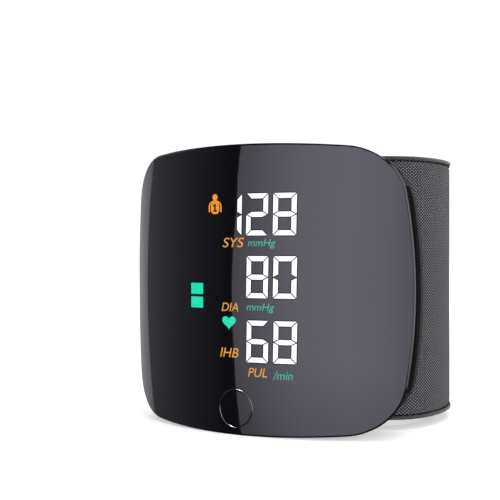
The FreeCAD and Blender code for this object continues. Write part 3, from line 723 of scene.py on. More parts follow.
@dataclass(frozen=True)
class Napped:
    """Brushed, looped or hooked fabric: a field of small tufts in cloth coordinates, light on the tufts and
    dark between them by the same mask as their bump: painted shade over the fabric's own tones.
    """

    name: str
    dark: Colour
    light: Colour
    pitch: float
    depth: float
    sheen: float = 0.5

    def build(self) -> bpy.types.Material:
        """Build the material.

        Returns:
            The material.
        """
        surface = Surface(self.name)
        cloth = surface.cloth()
        tufts = surface.add("TexVoronoi", {"Vector": cloth, "Scale": 1.0 / self.pitch, "Randomness": 0.75})
        nap = surface.noise(cloth, 1.6 / self.pitch, 3.0, 0.7)
        tuft = surface.ranged(tufts.outputs["Distance"], 0.0, 0.65, 1.0, 0.0)
        tuft_height_and_shade = surface.maths("MULTIPLY", tuft, surface.ranged(nap, 0.25, 0.75, 0.4, 1.0))
        slow = surface.ranged(surface.noise(cloth, 90.0, 3.0), 0.35, 0.65, 0.0, 0.3)
        # Painted shade: dark between the tufts, light on them.
        mixed = surface.blended(tuft_height_and_shade, rgba(self.dark), rgba(self.light))
        surface.give({"Base Color": surface.blended(slow, mixed, rgba(self.light, 0.85)),
                      "Roughness": surface.ranged(nap, 0.3, 0.7, 0.8, 0.98),
                      "Sheen Weight": self.sheen, "Specular IOR Level": 0.2})
        surface.bump(tuft_height_and_shade, 0.8, self.depth)
        return surface.material


@dataclass(frozen=True)
class Board:
    """Solder mask over copper tracks."""

    name: str = "circuit_board"
    mask: Colour = (0.012, 0.075, 0.03)
    track: Colour = (0.03, 0.15, 0.06)

    def build(self) -> bpy.types.Material:
        """Build the material.

        Returns:
            The material.
        """
        surface = Surface(self.name)
        place = surface.place()
        flat = surface.add("Mapping", {"Vector": place, "Rotation": (math.pi / 2, 0.0, 0.0)}).outputs[0]
        white, black = (1, 1, 1, 1), (0, 0, 0, 1)
        cells = surface.add("TexBrick", {"Vector": flat, "Scale": 160.0, "Mortar Size": 0.04, "Color1": white,
                                         "Color2": white, "Mortar": black})
        shaded, height = surface.grained(place, self.mask, 2500.0)
        surface.give({"Base Color": surface.blended(cells.outputs["Fac"], shaded, rgba(self.track)),
                      "Roughness": surface.roughness_by(height, 0.25, 0.4)})
        surface.bump(cells.outputs["Fac"], 0.4, 0.03 * MM)
        return surface.material


# --------------------------------------------------------------------- studio


@dataclass
class Panel:
    """A softbox that stands as part of an upright ring round the object.

    Bearings are in degrees from the display's own direction, positive to the reader's right.
    """

    name: str
    start: float
    end: float
    levels: tuple[tuple[float, float], ...]
    strength: float
    bow: float = 0.0
    bow_level: float = -2.0
    bow_end: float = 0.0
    foot: float = 1.0
    low: float = -14.0
    high: float = 34.0
    radius: float = 1.1
    bow_limit: float = 300.0
    cells: int = 48

    def build(self) -> None:
        """Build the softbox with its brightness across it."""
        centre = Vector((0.0, FRONT, MID_HEIGHT))

        def place(u: float, v: float) -> Vector:
            """A point of the softbox.

            Args:
                u: share of the first direction, from 0 to 1.
                v: share of the second direction, from 0 to 1.

            Returns:
                The point.
            """
            level = self.low + (self.high - self.low) * v
            square = min((level - self.bow_level) ** 2, self.bow_limit)
            bearing = math.radians(self.start + (self.end - self.start) * u
                                   + square * (self.bow * (1 - u) + self.bow_end * u))
            return Vector((centre.x + self.radius * math.sin(bearing),
                           centre.y - self.radius * math.cos(bearing),
                           centre.z + self.radius * math.tan(math.radians(level))))

        wall = mapped_grid(self.name, self.cells, self.cells, place)
        surface = Surface(self.name)
        shares = surface.add("SeparateXYZ", {"Vector": surface.add("UVMap").outputs["UV"]})
        ramp = surface.add("ValToRGB", {"Fac": shares.outputs["X"]})
        points = ramp.color_ramp.elements
        while len(points) < len(self.levels):
            points.new(0.5)
        for point, (at, level) in zip(points, self.levels):
            point.position = at
            point.color = (level, level, level, 1.0)
        fade = surface.ranged(shares.outputs["Y"], 0.02, 0.14, self.strength * self.foot, self.strength)
        light = surface.add("Emission", {"Color": ramp.outputs["Color"], "Strength": fade})
        surface.put(light.outputs[0], surface.tree.nodes["Material Output"].inputs["Surface"])
        surface.tree.nodes.remove(surface.shader)
        wall.data.materials.append(surface.material)
        wall.visible_camera = False
        wall.visible_shadow = False


@dataclass
class Studio:
    """Floor, surroundings, softboxes and camera."""

    floor_size: float = 30.0
    camera_distance: float = 280.66 * MM
    camera_bearing: float = 0.5605
    camera_level: float = 11.59 * MM
    camera_turn: float = -0.0135
    camera_dip: float = 0.0049
    camera_roll: float = -0.0019
    lens: float = 78.44
    strip_energy: float = 120.0
    trim: str = TRIM

    def floor(self) -> None:
        """A wide pale floor under the case."""
        deselect()
        bpy.ops.mesh.primitive_plane_add(size=self.floor_size, location=(0.0, 0.0, CAD_BOX[0].z))
        plane = added("studio_floor")
        surface = Surface("studio_floor")
        place = surface.place()
        away = surface.add("VectorMath", {0: place}, operation="LENGTH").outputs["Value"]
        far = surface.ranged(away, 0.25, 1.6, 0.0, 1.0)
        surface.give({"Base Color": surface.blended(surface.noise(place, 3.0), (0.84, 0.84, 0.84, 1),
                                                    (0.86, 0.86, 0.86, 1)),
                      "Emission Color": surface.blended(far, (0.45, 0.45, 0.45, 1), (1, 1, 1, 1)),
                      "Emission Strength": 1.0, "Roughness": 0.9, "Specular IOR Level": 0.0})
        plane.data.materials.append(surface.material)
        plane.visible_glossy = False

    def surroundings(self) -> None:
        """White to the eye, and a dim room, lighter to the left, to light and reflections."""
        world = bpy.data.worlds.new("studio_room")
        world.use_nodes = True
        bpy.context.scene.world = world
        tree = Tree(world.node_tree)
        seen = world.node_tree.nodes["Background"]
        seen.inputs["Color"].default_value = (1.0, 1.0, 1.0, 1.0)
        seen.inputs["Strength"].default_value = 1.05
        way = tree.add("TexCoord").outputs["Generated"]
        light_side = (-0.985, -0.14, 0.1)
        towards = tree.add("VectorMath", {0: way, 1: light_side}, operation="DOT_PRODUCT")
        level = tree.ranged(towards.outputs["Value"], 0.7, 0.995, 0.075, 0.3)
        room = tree.add("Background", {"Color": (0.93, 0.94, 1.0, 1.0), "Strength": level})
        eye = tree.add("LightPath").outputs["Is Camera Ray"]
        mix = tree.add("MixShader", {0: eye, 1: room.outputs[0], 2: seen.outputs[0]})
        tree.put(mix.outputs[0], world.node_tree.nodes["World Output"].inputs["Surface"])

    def softboxes(self) -> None:
        """A broad softbox in front and to the right, a narrow one far left, and one overhead."""
        Panel("front_softbox", -34.3, 178.0,
              ((0.0, 0.43), (0.047, 0.54), (0.078, 0.66), (0.123, 0.78), (0.171, 0.89), (0.285, 0.98),
               (0.376, 0.89), (0.423, 0.74), (0.513, 0.5), (0.68, 0.36), (1.0, 0.25)), 3.3,
              bow=0.062, bow_level=-2.5, foot=0.68).build()
        Panel("left_softbox", -175.0, -102.5, ((0.0, 1.0), (0.8, 0.97), (1.0, 0.78)), 0.98,
              bow_end=0.125).build()
        self.lamp("overhead_softbox", 17.0, 1.4, 1.4, Vector((0.1, 0.1, 1.5))).visible_glossy = False
        strip = self.lamp("overhead_strip", self.strip_energy, 0.58, 0.9, Vector((-0.31, -0.05, 1.05)))
        strip.visible_diffuse = False
        strip.light_linking.receiver_collection = bpy.data.collections.new(self.trim)

    def lamp(self, name: str, energy: float, across: float, deep: float, place: Vector) -> bpy.types.Object:
        """Hang a rectangular lamp that shines down.

        Args:
            name: the lamp's name.
            energy: its power in watts.
            across: its size from left to right.
            deep: its size from front to back.
            place: where it hangs.

        Returns:
            The lamp.
        """
        light = bpy.data.lights.new(name, "AREA")
        light.shape = "RECTANGLE"
        light.size, light.size_y = across, deep
        light.energy = energy
        lamp = bpy.data.objects.new(name, light)
        lamp.location = place
        bpy.context.scene.collection.objects.link(lamp)
        return lamp

    def camera(self) -> None:
        """The view from the reader's right, level with the middle of the case."""
        centre = (CAD_BOX[0] + CAD_BOX[1]) / 2
        eye = Vector((self.camera_distance * math.sin(self.camera_bearing),
                      FRONT - self.camera_distance * math.cos(self.camera_bearing),
                      centre.z + self.camera_level))
        bearing = self.camera_bearing + self.camera_turn
        forward = Vector((-math.sin(bearing) * math.cos(self.camera_dip),
                          math.cos(bearing) * math.cos(self.camera_dip), -math.sin(self.camera_dip)))
        level_right = forward.cross(UP).normalized()
        level_up = level_right.cross(forward)
        right = level_right * math.cos(self.camera_roll) + level_up * math.sin(self.camera_roll)
        up = right.cross(forward)
        data = bpy.data.cameras.new("camera")
        data.lens = self.lens
        data.sensor_width = 36.0
        data.clip_start = 0.01
        data.clip_end = 50.0
        camera = bpy.data.objects.new("camera", data)
        turn = Matrix((right, up, -forward)).transposed().to_4x4()
        camera.matrix_world = Matrix.Translation(eye) @ turn
        bpy.context.scene.collection.objects.link(camera)
        bpy.context.scene.camera = camera

    def build(self) -> None:
        """Build the whole studio."""
        self.floor()
        self.surroundings()
        self.softboxes()
        self.camera()
        bpy.context.scene.view_settings.view_transform = "Standard"


# ----------------------------------------------------------------------- case


@dataclass
class HardParts:
    """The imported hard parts, which keep their shapes and get their finishes."""

    def finishes(self) -> dict[str, object]:
        """The finish of each of the record's material slots.

        Returns:
            Finishes by slot.
        """
        return {
            "cover_gloss": Gloss("smoked_cover", (0.0014, 0.0013, 0.0019)),
            # Both housing finishes carry painted shade in their side grooves.
            "housing_black": PaintedGrooveShade("black_frame", (0.014, 0.014, 0.0155), 26.55 * MM, 22.12 * MM),
            "housing_grey": PaintedGrooveShade("grey_shell", (0.013, 0.013, 0.0145), 26.55 * MM, 22.0 * MM),
            "switch_black": Moulded("black_nylon", (0.02, 0.02, 0.022), 0.5),
            "reflector_white": Moulded("white_reflector", (0.8, 0.8, 0.78), 0.55),
            "board_green": Board(),
            "led_body": Moulded("led_resin", (0.85, 0.8, 0.5), 0.25, 2500.0),
            "foam_pad": Moulded("foam_tape", (0.05, 0.05, 0.055), 0.85, 1800.0, 0.08 * MM),
            "battery_foil": Metal("pouch_foil", (0.62, 0.63, 0.66), 0.4, 2.0),
            "steel": Metal("plated_steel", (0.6, 0.61, 0.63), 0.25),
            "chip_black": Moulded("chip_package", (0.018, 0.018, 0.02), 0.55),
            "sensor_white": Moulded("white_housing", (0.72, 0.72, 0.7), 0.45),
            "brass": Metal("turned_brass", (0.72, 0.52, 0.22), 0.22, 8.0),
            "silicone": Moulded("silicone_tube", (0.55, 0.58, 0.58), 0.5, 2200.0),
            "screw_steel": Metal("black_screw", (0.1, 0.1, 0.11), 0.35, 5.0),
            "stiffener_plastic": Moulded("formed_sheet", (0.6, 0.61, 0.63), 0.5, 2600.0),
        }

    def dress(self) -> None:
        """Give every hard node the finish of its slot."""
        slots = {part["node"]: part["material_slot"] for part in frame["record"]["subparts"]}
        built = {slot: finish.build() for slot, finish in self.finishes().items()}
        for node, slot in slots.items():
            if slot not in built:
                continue
            shown = frame["nodes"][node]
            if not shown.material_slots:
                shown.data.materials.append(None)
            for place in shown.material_slots:
                place.material = built[slot]
            log.info("%s: finished as %s", node, built[slot].name)


# -------------------------------------------------------------------- display


@dataclass(frozen=True)
class Label:
    """A generic unit or reading label on the display, by its place on the face in millimetres."""

    text: str
    left: float
    width: float
    bottom: float
    height: float
    slot: str


@dataclass
class Display:
    """Lit digits, labels and icons in the curved cover."""

    drop: float = 15.7 * MM
    proud: float = 0.03 * MM
    outline: float = 0.26 * MM
    ring_width: float = 0.3 * MM
    ring_crown: float = 0.12 * MM
    ring_foot: float = 0.5 * MM
    ring_sides: float = 0.08
    facet: float = 0.9 * MM
    facets: int = 24
    labels: tuple[Label, ...] = (
        Label("SYS", -3.9, 6.5, 10.9, 2.5, "lit_orange"),
        Label("mmHg", 3.7, 7.8, 10.6, 2.4, "lit_green"),
        Label("DIA", -4.3, 5.2, -5.6, 2.2, "lit_orange"),
        Label("mmHg", 3.3, 7.8, -5.8, 2.4, "lit_green"),
        Label("IHB", -4.8, 5.7, -17.5, 2.4, "lit_orange"),
        Label("PUL", 3.7, 5.4, -22.2, 2.3, "lit_orange"),
        Label("/min", 10.7, 5.3, -22.6, 2.2, "lit_green"),
    )

    def __post_init__(self) -> None:
        """Work out the curve of the face from its width and from how far it falls back at its sides."""
        half = CAD_BOX[1].x
        self.face_radius = (half ** 2 + self.drop ** 2) / (2 * self.drop)

    def on_face(self, across: float, up: float, proud: float) -> Vector:
        """A point on the cover.

        Args:
            across: distance along the curved face from its middle.
            up: height above the middle of the case.
            proud: height above the face.

        Returns:
            The point in the frame.
        """
        turn = across / self.face_radius
        radius = self.face_radius + proud
        return Vector((radius * math.sin(turn), FRONT + self.face_radius - radius * math.cos(turn),
                       MID_HEIGHT + up))

    def lay(self, piece: bpy.types.Object, proud: float) -> None:
        """Lay a flat, thin piece from its own plane onto the face.

        Args:
            piece: the piece.
            proud: height above the face.
        """
        for vertex in piece.data.vertices:
            vertex.co = self.on_face(vertex.co.x, vertex.co.y, proud + vertex.co.z)
        piece.data.update()

    def thicken(self, piece: bpy.types.Object) -> None:
        """Give a flat outline its small thickness."""
        apply_modifier(piece, "SOLIDIFY", thickness=self.proud, offset=-1.0)

    def bar_outlines(self) -> list[list[Vector]]:
        """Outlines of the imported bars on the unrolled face, each a convex ring of corners.

        Returns:
            Each bar's corners, in order.
        """
        mesh = frame["nodes"]["digit_segments"].data
        axis_y = FRONT + self.face_radius
        least_turn = math.radians(8)
        builder = bmesh.new()
        builder.from_mesh(mesh)
        bmesh.ops.remove_doubles(builder, verts=builder.verts, dist=2 * WELD)
        left = set(builder.verts)
        outlines = []
        while left:
            island, edge = set(), [left.pop()]
            while edge:
                vertex = edge.pop()
                island.add(vertex)
                for link in vertex.link_edges:
                    other = link.other_vert(vertex)
                    if other in left:
                        left.discard(other)
                        edge.append(other)
            flat = []
            for vertex in island:
                x, y = vertex.co.x, axis_y - vertex.co.y
                if math.hypot(x, y) > self.face_radius - 0.1 * MM:
                    flat.append(Vector((self.face_radius * math.atan2(x, y), vertex.co.z - MID_HEIGHT)))
            ring = [flat[i] for i in geometry.convex_hull_2d(flat)]
            corners = []
            for before, here, after in zip(ring[-1:] + ring, ring, ring[1:] + ring[:1]):
                if abs((here - before).angle_signed(after - here, 0.0)) > least_turn:
                    corners.append(here)
            outlines.append(corners)
        builder.free()
        return outlines

    def bars_from(self, name: str, outlines: list[list[Vector]], grow: float,
                  proud: float) -> bpy.types.Object:
        """Bars on the face, each wider all round by a distance, as one piece.

        Args:
            name: the piece's name.
            outlines: the bars' corners on the unrolled face.
            grow: distance to widen them.
            proud: height of their fronts above the face.

        Returns:
            The piece.
        """
        deselect()
        bpy.ops.mesh.primitive_plane_add(size=1.0)
        piece = added(name)
        builder = bmesh.new()
        for corners in outlines:
            middle = sum(corners, Vector((0.0, 0.0))) / len(corners)
            wide = []
            for before, here, after in zip(corners[-1:] + corners, corners, corners[1:] + corners[:1]):
                for way in (here - before, after - here):
                    out = Vector((way.y, -way.x)).normalized()
                    if out.dot(here - middle) < 0:
                        out.negate()
                    wide.append(here + out * grow)
            builder.faces.new([builder.verts.new((corner.x, corner.y, 0.0)) for corner in wide])
        bmesh.ops.remove_doubles(builder, verts=builder.verts, dist=WELD)
        for step in range(-self.facets, self.facets + 1):
            bmesh.ops.bisect_plane(builder, geom=builder.verts[:] + builder.edges[:] + builder.faces[:],
                                   plane_co=(step * self.facet, 0.0, 0.0), plane_no=(1.0, 0.0, 0.0))
        bmesh.ops.recalc_face_normals(builder, faces=builder.faces)
        for face in builder.faces:
            face.normal_update()
            if face.normal.z < 0:
                face.normal_flip()
        builder.to_mesh(piece.data)
        builder.free()
        self.thicken(piece)
        self.lay(piece, proud)
        shade(piece, 20.0)
        return piece

    def ring(self, plated: bpy.types.Material) -> None:
        """The start button's trim: a thin plated ring with a rounded crown, which follows the face.

        Args:
            plated: its finish.
        """
        low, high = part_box("button_ring")
        middle_x, middle_z = (low.x + high.x) / 2, (low.z + high.z - CAD_BOX[0].z - CAD_BOX[1].z) / 2
        outer = (high.z - low.z) / 2
        width, foot, sides = self.ring_width, self.ring_foot, self.ring_sides

        def place(u: float, v: float) -> Vector:
            """A point of the trim, by its way round and over its crown.

            Args:
                u: share of the first direction, from 0 to 1.
                v: share of the second direction, from 0 to 1.

            Returns:
                The point.
            """
            turn = 2 * math.pi * u
            if v < sides or v > 1 - sides:
                side, rise = (1.0 if v < sides else -1.0), -foot
            else:
                bend = math.pi * (v - sides) / (1 - 2 * sides)
                side, rise = math.cos(bend), self.ring_crown * math.sin(bend)
            radius = outer - width / 2 + side * width / 2
            across = self.face_radius * math.asin((middle_x + radius * math.cos(turn)) / self.face_radius)
            return self.on_face(across, middle_z + radius * math.sin(turn), rise)

        piece = mapped_grid("start_button_ring", 160, 22, place)
        edit(piece, weld, bridge_open_ends, face_outwards)
        shade(piece, 60.0)
        finished(piece, plated, Body.CASE, "trim_chrome", "button_ring")
        bpy.data.collections[TRIM].objects.link(piece)

    def digits(self, lit: bpy.types.Material, mask: bpy.types.Material) -> None:
        """The lit bars, and the dark printed edge round each of them.

        Args:
            lit: the lit finish.
            mask: the dark printed finish.
        """
        outlines = self.bar_outlines()
        bars = self.bars_from("lit_digits", outlines, 0.0, self.proud)
        finished(bars, lit, Body.CASE, "lit_white", "digit_segments")
        edges = self.bars_from("digit_edges", outlines, self.outline, self.proud * 0.5)
        finished(edges, mask, Body.CASE, "cover_gloss")

    def label(self, number: int, spec: Label, material: bpy.types.Material) -> None:
        """One printed and lit label.

        Args:
            number: the label's number.
            spec: what it says and where.
            material: its finish.
        """
        deselect()
        bpy.ops.object.text_add(location=(0.0, 0.0, 0.0))
        writing = bpy.context.object
        writing.data.body = spec.text
        writing.data.shear = 0.22
        writing.data.offset = 0.002 if spec.slot == "lit_orange" else 0.0
        writing.data.resolution_u = 6
        bpy.ops.object.convert(target="MESH")
        piece = added(f"label_{number}_{''.join(c for c in spec.text if c.isalpha())}")
        xs = [v.co.x for v in piece.data.vertices]
        ys = [v.co.y for v in piece.data.vertices]
        wide = spec.width * MM / (max(xs) - min(xs))
        tall = spec.height * MM / (max(ys) - min(ys))
        for vertex in piece.data.vertices:
            vertex.co.x = spec.left * MM + (vertex.co.x - min(xs)) * wide
            vertex.co.y = spec.bottom * MM + (vertex.co.y - min(ys)) * tall
        edit(piece, weld)
        self.thicken(piece)
        self.lay(piece, self.proud)
        finished(piece, material, Body.CASE, spec.slot)

    def outline_shape(self, name: str, points: int,
                      shape: Callable[[float], tuple[float, float]]) -> bpy.types.Object:
        """A flat filled shape.

        Args:
            name: the piece's name.
            points: corners of its outline.
            shape: gives a corner for an angle, in metres on the face.

        Returns:
            The shape, still flat.
        """
        deselect()
        bpy.ops.mesh.primitive_circle_add(vertices=points, radius=1.0, fill_type="NGON")
        piece = added(name)
        for vertex in piece.data.vertices:
            vertex.co.x, vertex.co.y = shape(math.atan2(vertex.co.y, vertex.co.x))
        return piece

    def place_icon(self, piece: bpy.types.Object, material: bpy.types.Material, slot: str) -> None:
        """Finish an icon and lay it on the face.

        Args:
            piece: the piece.
            material: its finish.
            slot: the record's material slot.
        """
        edit(piece, face_outwards)
        if piece.data.polygons[0].normal.z < 0:
            edit(piece, bpy.ops.mesh.flip_normals)
        self.thicken(piece)
        self.lay(piece, self.proud)
        finished(piece, material, Body.CASE, slot)

    def heart(self, material: bpy.types.Material) -> None:
        """The heart that marks the pulse.

        Args:
            material: its finish.
        """
        unit = 4.2 * MM / 32
        across, up = -2.0 * MM, -8.35 * MM

        def shape(angle: float) -> tuple[float, float]:
            """A corner of the heart's outline.

            Args:
                angle: direction of the corner from the middle.

            Returns:
                The corner.
            """
            turn = math.pi / 2 - angle
            wave = 13 * math.cos(turn) - 5 * math.cos(2 * turn) - 2 * math.cos(3 * turn) - math.cos(4 * turn)
            return across + unit * 16 * math.sin(turn) ** 3, up + unit * 0.9 * wave

        self.place_icon(self.outline_shape("icon_heart", 64, shape), material, "lit_green")

    def bars(self, material: bpy.types.Material) -> None:
        """Two blocks of the level bar, with rounded corners.

        Args:
            material: its finish.
        """
        width, height, left, corner = 4.4 * MM, 2.9 * MM, -15.0 * MM, 0.2 * MM
        for number, bottom in enumerate((-1.4 * MM, -5.0 * MM)):

            def place(u: float, v: float) -> Vector:
                """A point of a block with rounded corners.

                Args:
                    u: share of the first direction, from 0 to 1.
                    v: share of the second direction, from 0 to 1.

                Returns:
                    The point.
                """
                along = width * (1 - math.cos(u * math.pi)) / 2
                inside = max(corner - min(along, width - along), 0.0)
                high = height / 2 - corner + math.sqrt(corner ** 2 - inside ** 2)
                return Vector((left + along, bottom + height / 2 + high * (2 * v - 1), 0.0))

            self.place_icon(mapped_grid(f"icon_bar_{number}", 24, 4, place), material, "lit_green")

    def person(self, lit: bpy.types.Material, mask: bpy.types.Material) -> None:
        """The user mark: a head, two arms, and a body that carries a number one.

        Args:
            lit: the lit finish.
            mask: the dark printed finish.
        """
        across, base = -6.4 * MM, 19.5 * MM
        head = self.outline_shape("icon_user_head", 32, lambda a: (
            across + 0.85 * MM * math.cos(a), base + 4.45 * MM + 0.82 * MM * math.sin(a)))
        self.place_icon(head, lit, "lit_orange")
        trunk = self.outline_shape(
            "icon_user_body", 48,
            lambda a: (across + 1.38 * MM * math.copysign(abs(math.cos(a)) ** 0.7, math.cos(a)),
                       base + 1.7 * MM + 1.62 * MM * math.copysign(abs(math.sin(a)) ** 0.75, math.sin(a))))
        self.place_icon(trunk, lit, "lit_orange")
        inner, outer, legs, arch = 1.68 * MM, 2.12 * MM, 1.5 * MM, 14

        def arms(u: float, v: float) -> Vector:
            """A point of the two arms.

            Args:
                u: share of the first direction, from 0 to 1.
                v: share of the second direction, from 0 to 1.

            Returns:
                The point.
            """
            radius = inner + (outer - inner) * v
            turn = math.pi * (1 - min(max((u - 0.25) * 2, 0.0), 1.0))
            drop = legs * max(0.25 - u, u - 0.75, 0.0) * 4
            return Vector((across + radius * math.cos(turn),
                           base + 2.1 * MM + radius * 0.75 * math.sin(turn) - drop, 0.0))

        self.place_icon(mapped_grid("icon_user_arms", 2 * arch, 1, arms), lit, "lit_orange")
        deselect()
        bpy.ops.mesh.primitive_plane_add(size=1.0)
        one = added("icon_user_number")
        stem, foot, flag = 0.26 * MM, 0.62 * MM, 0.5 * MM
        nib = 0.1 * MM
        corners = [(-foot, 0.7), (foot, 0.7), (foot, 1.1), (stem, 1.1), (stem, 2.75), (-nib, 2.75),
                   (-flag - nib, 2.4), (-flag - nib, 1.95), (-stem, 2.15), (-stem, 1.1), (-foot, 1.1)]
        builder = bmesh.new()
        builder.faces.new([builder.verts.new((across + x, base + y * MM, 0.0)) for x, y in corners])
        builder.to_mesh(one.data)
        builder.free()
        self.thicken(one)
        self.lay(one, self.proud * 2.0)
        finished(one, mask, Body.CASE, "cover_gloss")

    def build(self) -> None:
        """Build everything that is lit or printed on the cover."""
        white = Lit("lit_white", (0.93, 0.95, 1.0), 1.02).build()
        orange = Lit("lit_orange", (0.85, 0.29, 0.02), 0.95).build()
        amber = Lit("lit_amber", (0.68, 0.30, 0.035), 0.95).build()
        green = Lit("lit_green", (0.0, 0.70, 0.42), 0.92).build()
        teal = Lit("lit_teal", (0.01, 0.44, 0.29), 0.86).build()
        mask = Moulded("printed_mask", (0.004, 0.004, 0.006), 0.4, specular=0.2).build()
        self.ring(Metal("plated_ring", (0.12, 0.12, 0.128), 0.14).build())
        self.digits(white, mask)
        for number, spec in enumerate(self.labels):
            self.label(number, spec, amber if spec.slot == "lit_orange" else teal)
        self.heart(green)
        self.bars(green)
        self.person(orange, mask)


# ----------------------------------------------------------------------- cuff


@dataclass
class CuffShape:
    """The cuff's outside, developed flat: distance along it, height, and depth into it.

    Distance is nought at the fold line, positive round the stretch that stays with the case and negative
    along the arm. The outside is made of arcs that share their tangents, and all of them curve inwards.
    """

    seat_radius: float = 60.0 * MM
    corner_radius: float = 14.0 * MM
    fixed_end: float = 456.0
    arm_end: float = 104.0
    edge: float = 35.05 * MM
    depth: float = 7.0 * MM

    def __post_init__(self) -> None:
        """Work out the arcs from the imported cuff."""
        low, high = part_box("cuff_outer_fabric")
        self.loop_radius = high.x
        self.loop_y = high.y - high.x
        self.seat_y = low.y + self.seat_radius
        self.middle = (low.z + high.z) / 2
        apart = self.seat_y - self.loop_y
        to_loop = self.loop_radius - self.corner_radius
        to_seat = self.seat_radius - self.corner_radius
        along = (to_loop ** 2 - to_seat ** 2 + apart ** 2) / (2 * apart)
        corner_x = math.sqrt(to_loop ** 2 - along ** 2)
        corner_y = self.loop_y + along
        side = math.degrees(math.atan2(-along, corner_x))
        front = math.degrees(math.atan2(self.seat_y - corner_y, corner_x))
        turns = (180.0, 180.0 + side, 180.0 + front, 360.0 - front, 360.0 - side, self.fixed_end)
        centres = ((0.0, self.loop_y, self.loop_radius), (-corner_x, corner_y, self.corner_radius),
                   (0.0, self.seat_y, self.seat_radius), (corner_x, corner_y, self.corner_radius),
                   (0.0, self.loop_y, self.loop_radius))
        self.arcs = []
        start = 0.0
        for (x, y, radius), a0, a1 in zip(centres, turns, turns[1:]):
            length = radius * math.radians(a1 - a0)
            self.arcs.append((x, y, radius, a0, start))
            start += length
        self.fixed_length = start
        self.arm_length = self.loop_radius * math.radians(180.0 - self.arm_end)

    def at_angle(self, degrees: float) -> float:
        """Distance along the arm or flap for an angle about the loop."""
        return -self.loop_radius * math.radians(180.0 - degrees)

    def point(self, along: float, up: float, depth: float) -> Vector:
        """A point of the cuff.

        Args:
            along: distance from the fold line.
            up: height above the cuff's middle.
            depth: depth under its outside.

        Returns:
            The point in the frame.
        """
        arc = self.arcs[0]
        for candidate in self.arcs:
            if along >= candidate[4]:
                arc = candidate
        x, y, radius, a0, start = arc
        angle = math.radians(a0) + (along - start) / radius
        return Vector((x + (radius - depth) * math.cos(angle), y + (radius - depth) * math.sin(angle),
                       self.middle + up))

    def outward(self, along: float) -> Vector:
        """The direction out of the cuff at a distance along it."""
        return (self.point(along, 0.0, 0.0) - self.point(along, 0.0, MM)).normalized()

    def onward(self, along: float) -> Vector:
        """The direction along the cuff at a distance along it."""
        return UP.cross(self.outward(along))

    def seat(self, along: float, up: float, depth: float, run: float, rise: float) -> Matrix:
        """Where a stitch lies.

        Args:
            along: distance from the fold line.
            up: height above the cuff's middle.
            depth: depth under its outside.
            run: how far the stitch's own direction goes along the cuff.
            rise: how far it goes up.

        Returns:
            A turn and a move for a stitch that lies along X with its crown along Z.
        """
        normal = self.outward(along)
        onward = (self.onward(along) * run + UP * rise).normalized()
        turn = Matrix((onward, normal.cross(onward), normal)).transposed().to_4x4()
        return Matrix.Translation(self.point(along, up, depth)) @ turn

    def length_at(self, start: float, end: float, depth: float) -> float:
        """Length of a stretch of the cuff, at a depth under its outside.

        Args:
            start: where the stretch begins.
            end: where it ends.
            depth: depth under the outside.

        Returns:
            The length.
        """
        steps = 60
        points = [self.point(start + (end - start) * i / steps, 0.0, depth) for i in range(steps + 1)]
        return sum((b - a).length for a, b in zip(points, points[1:]))


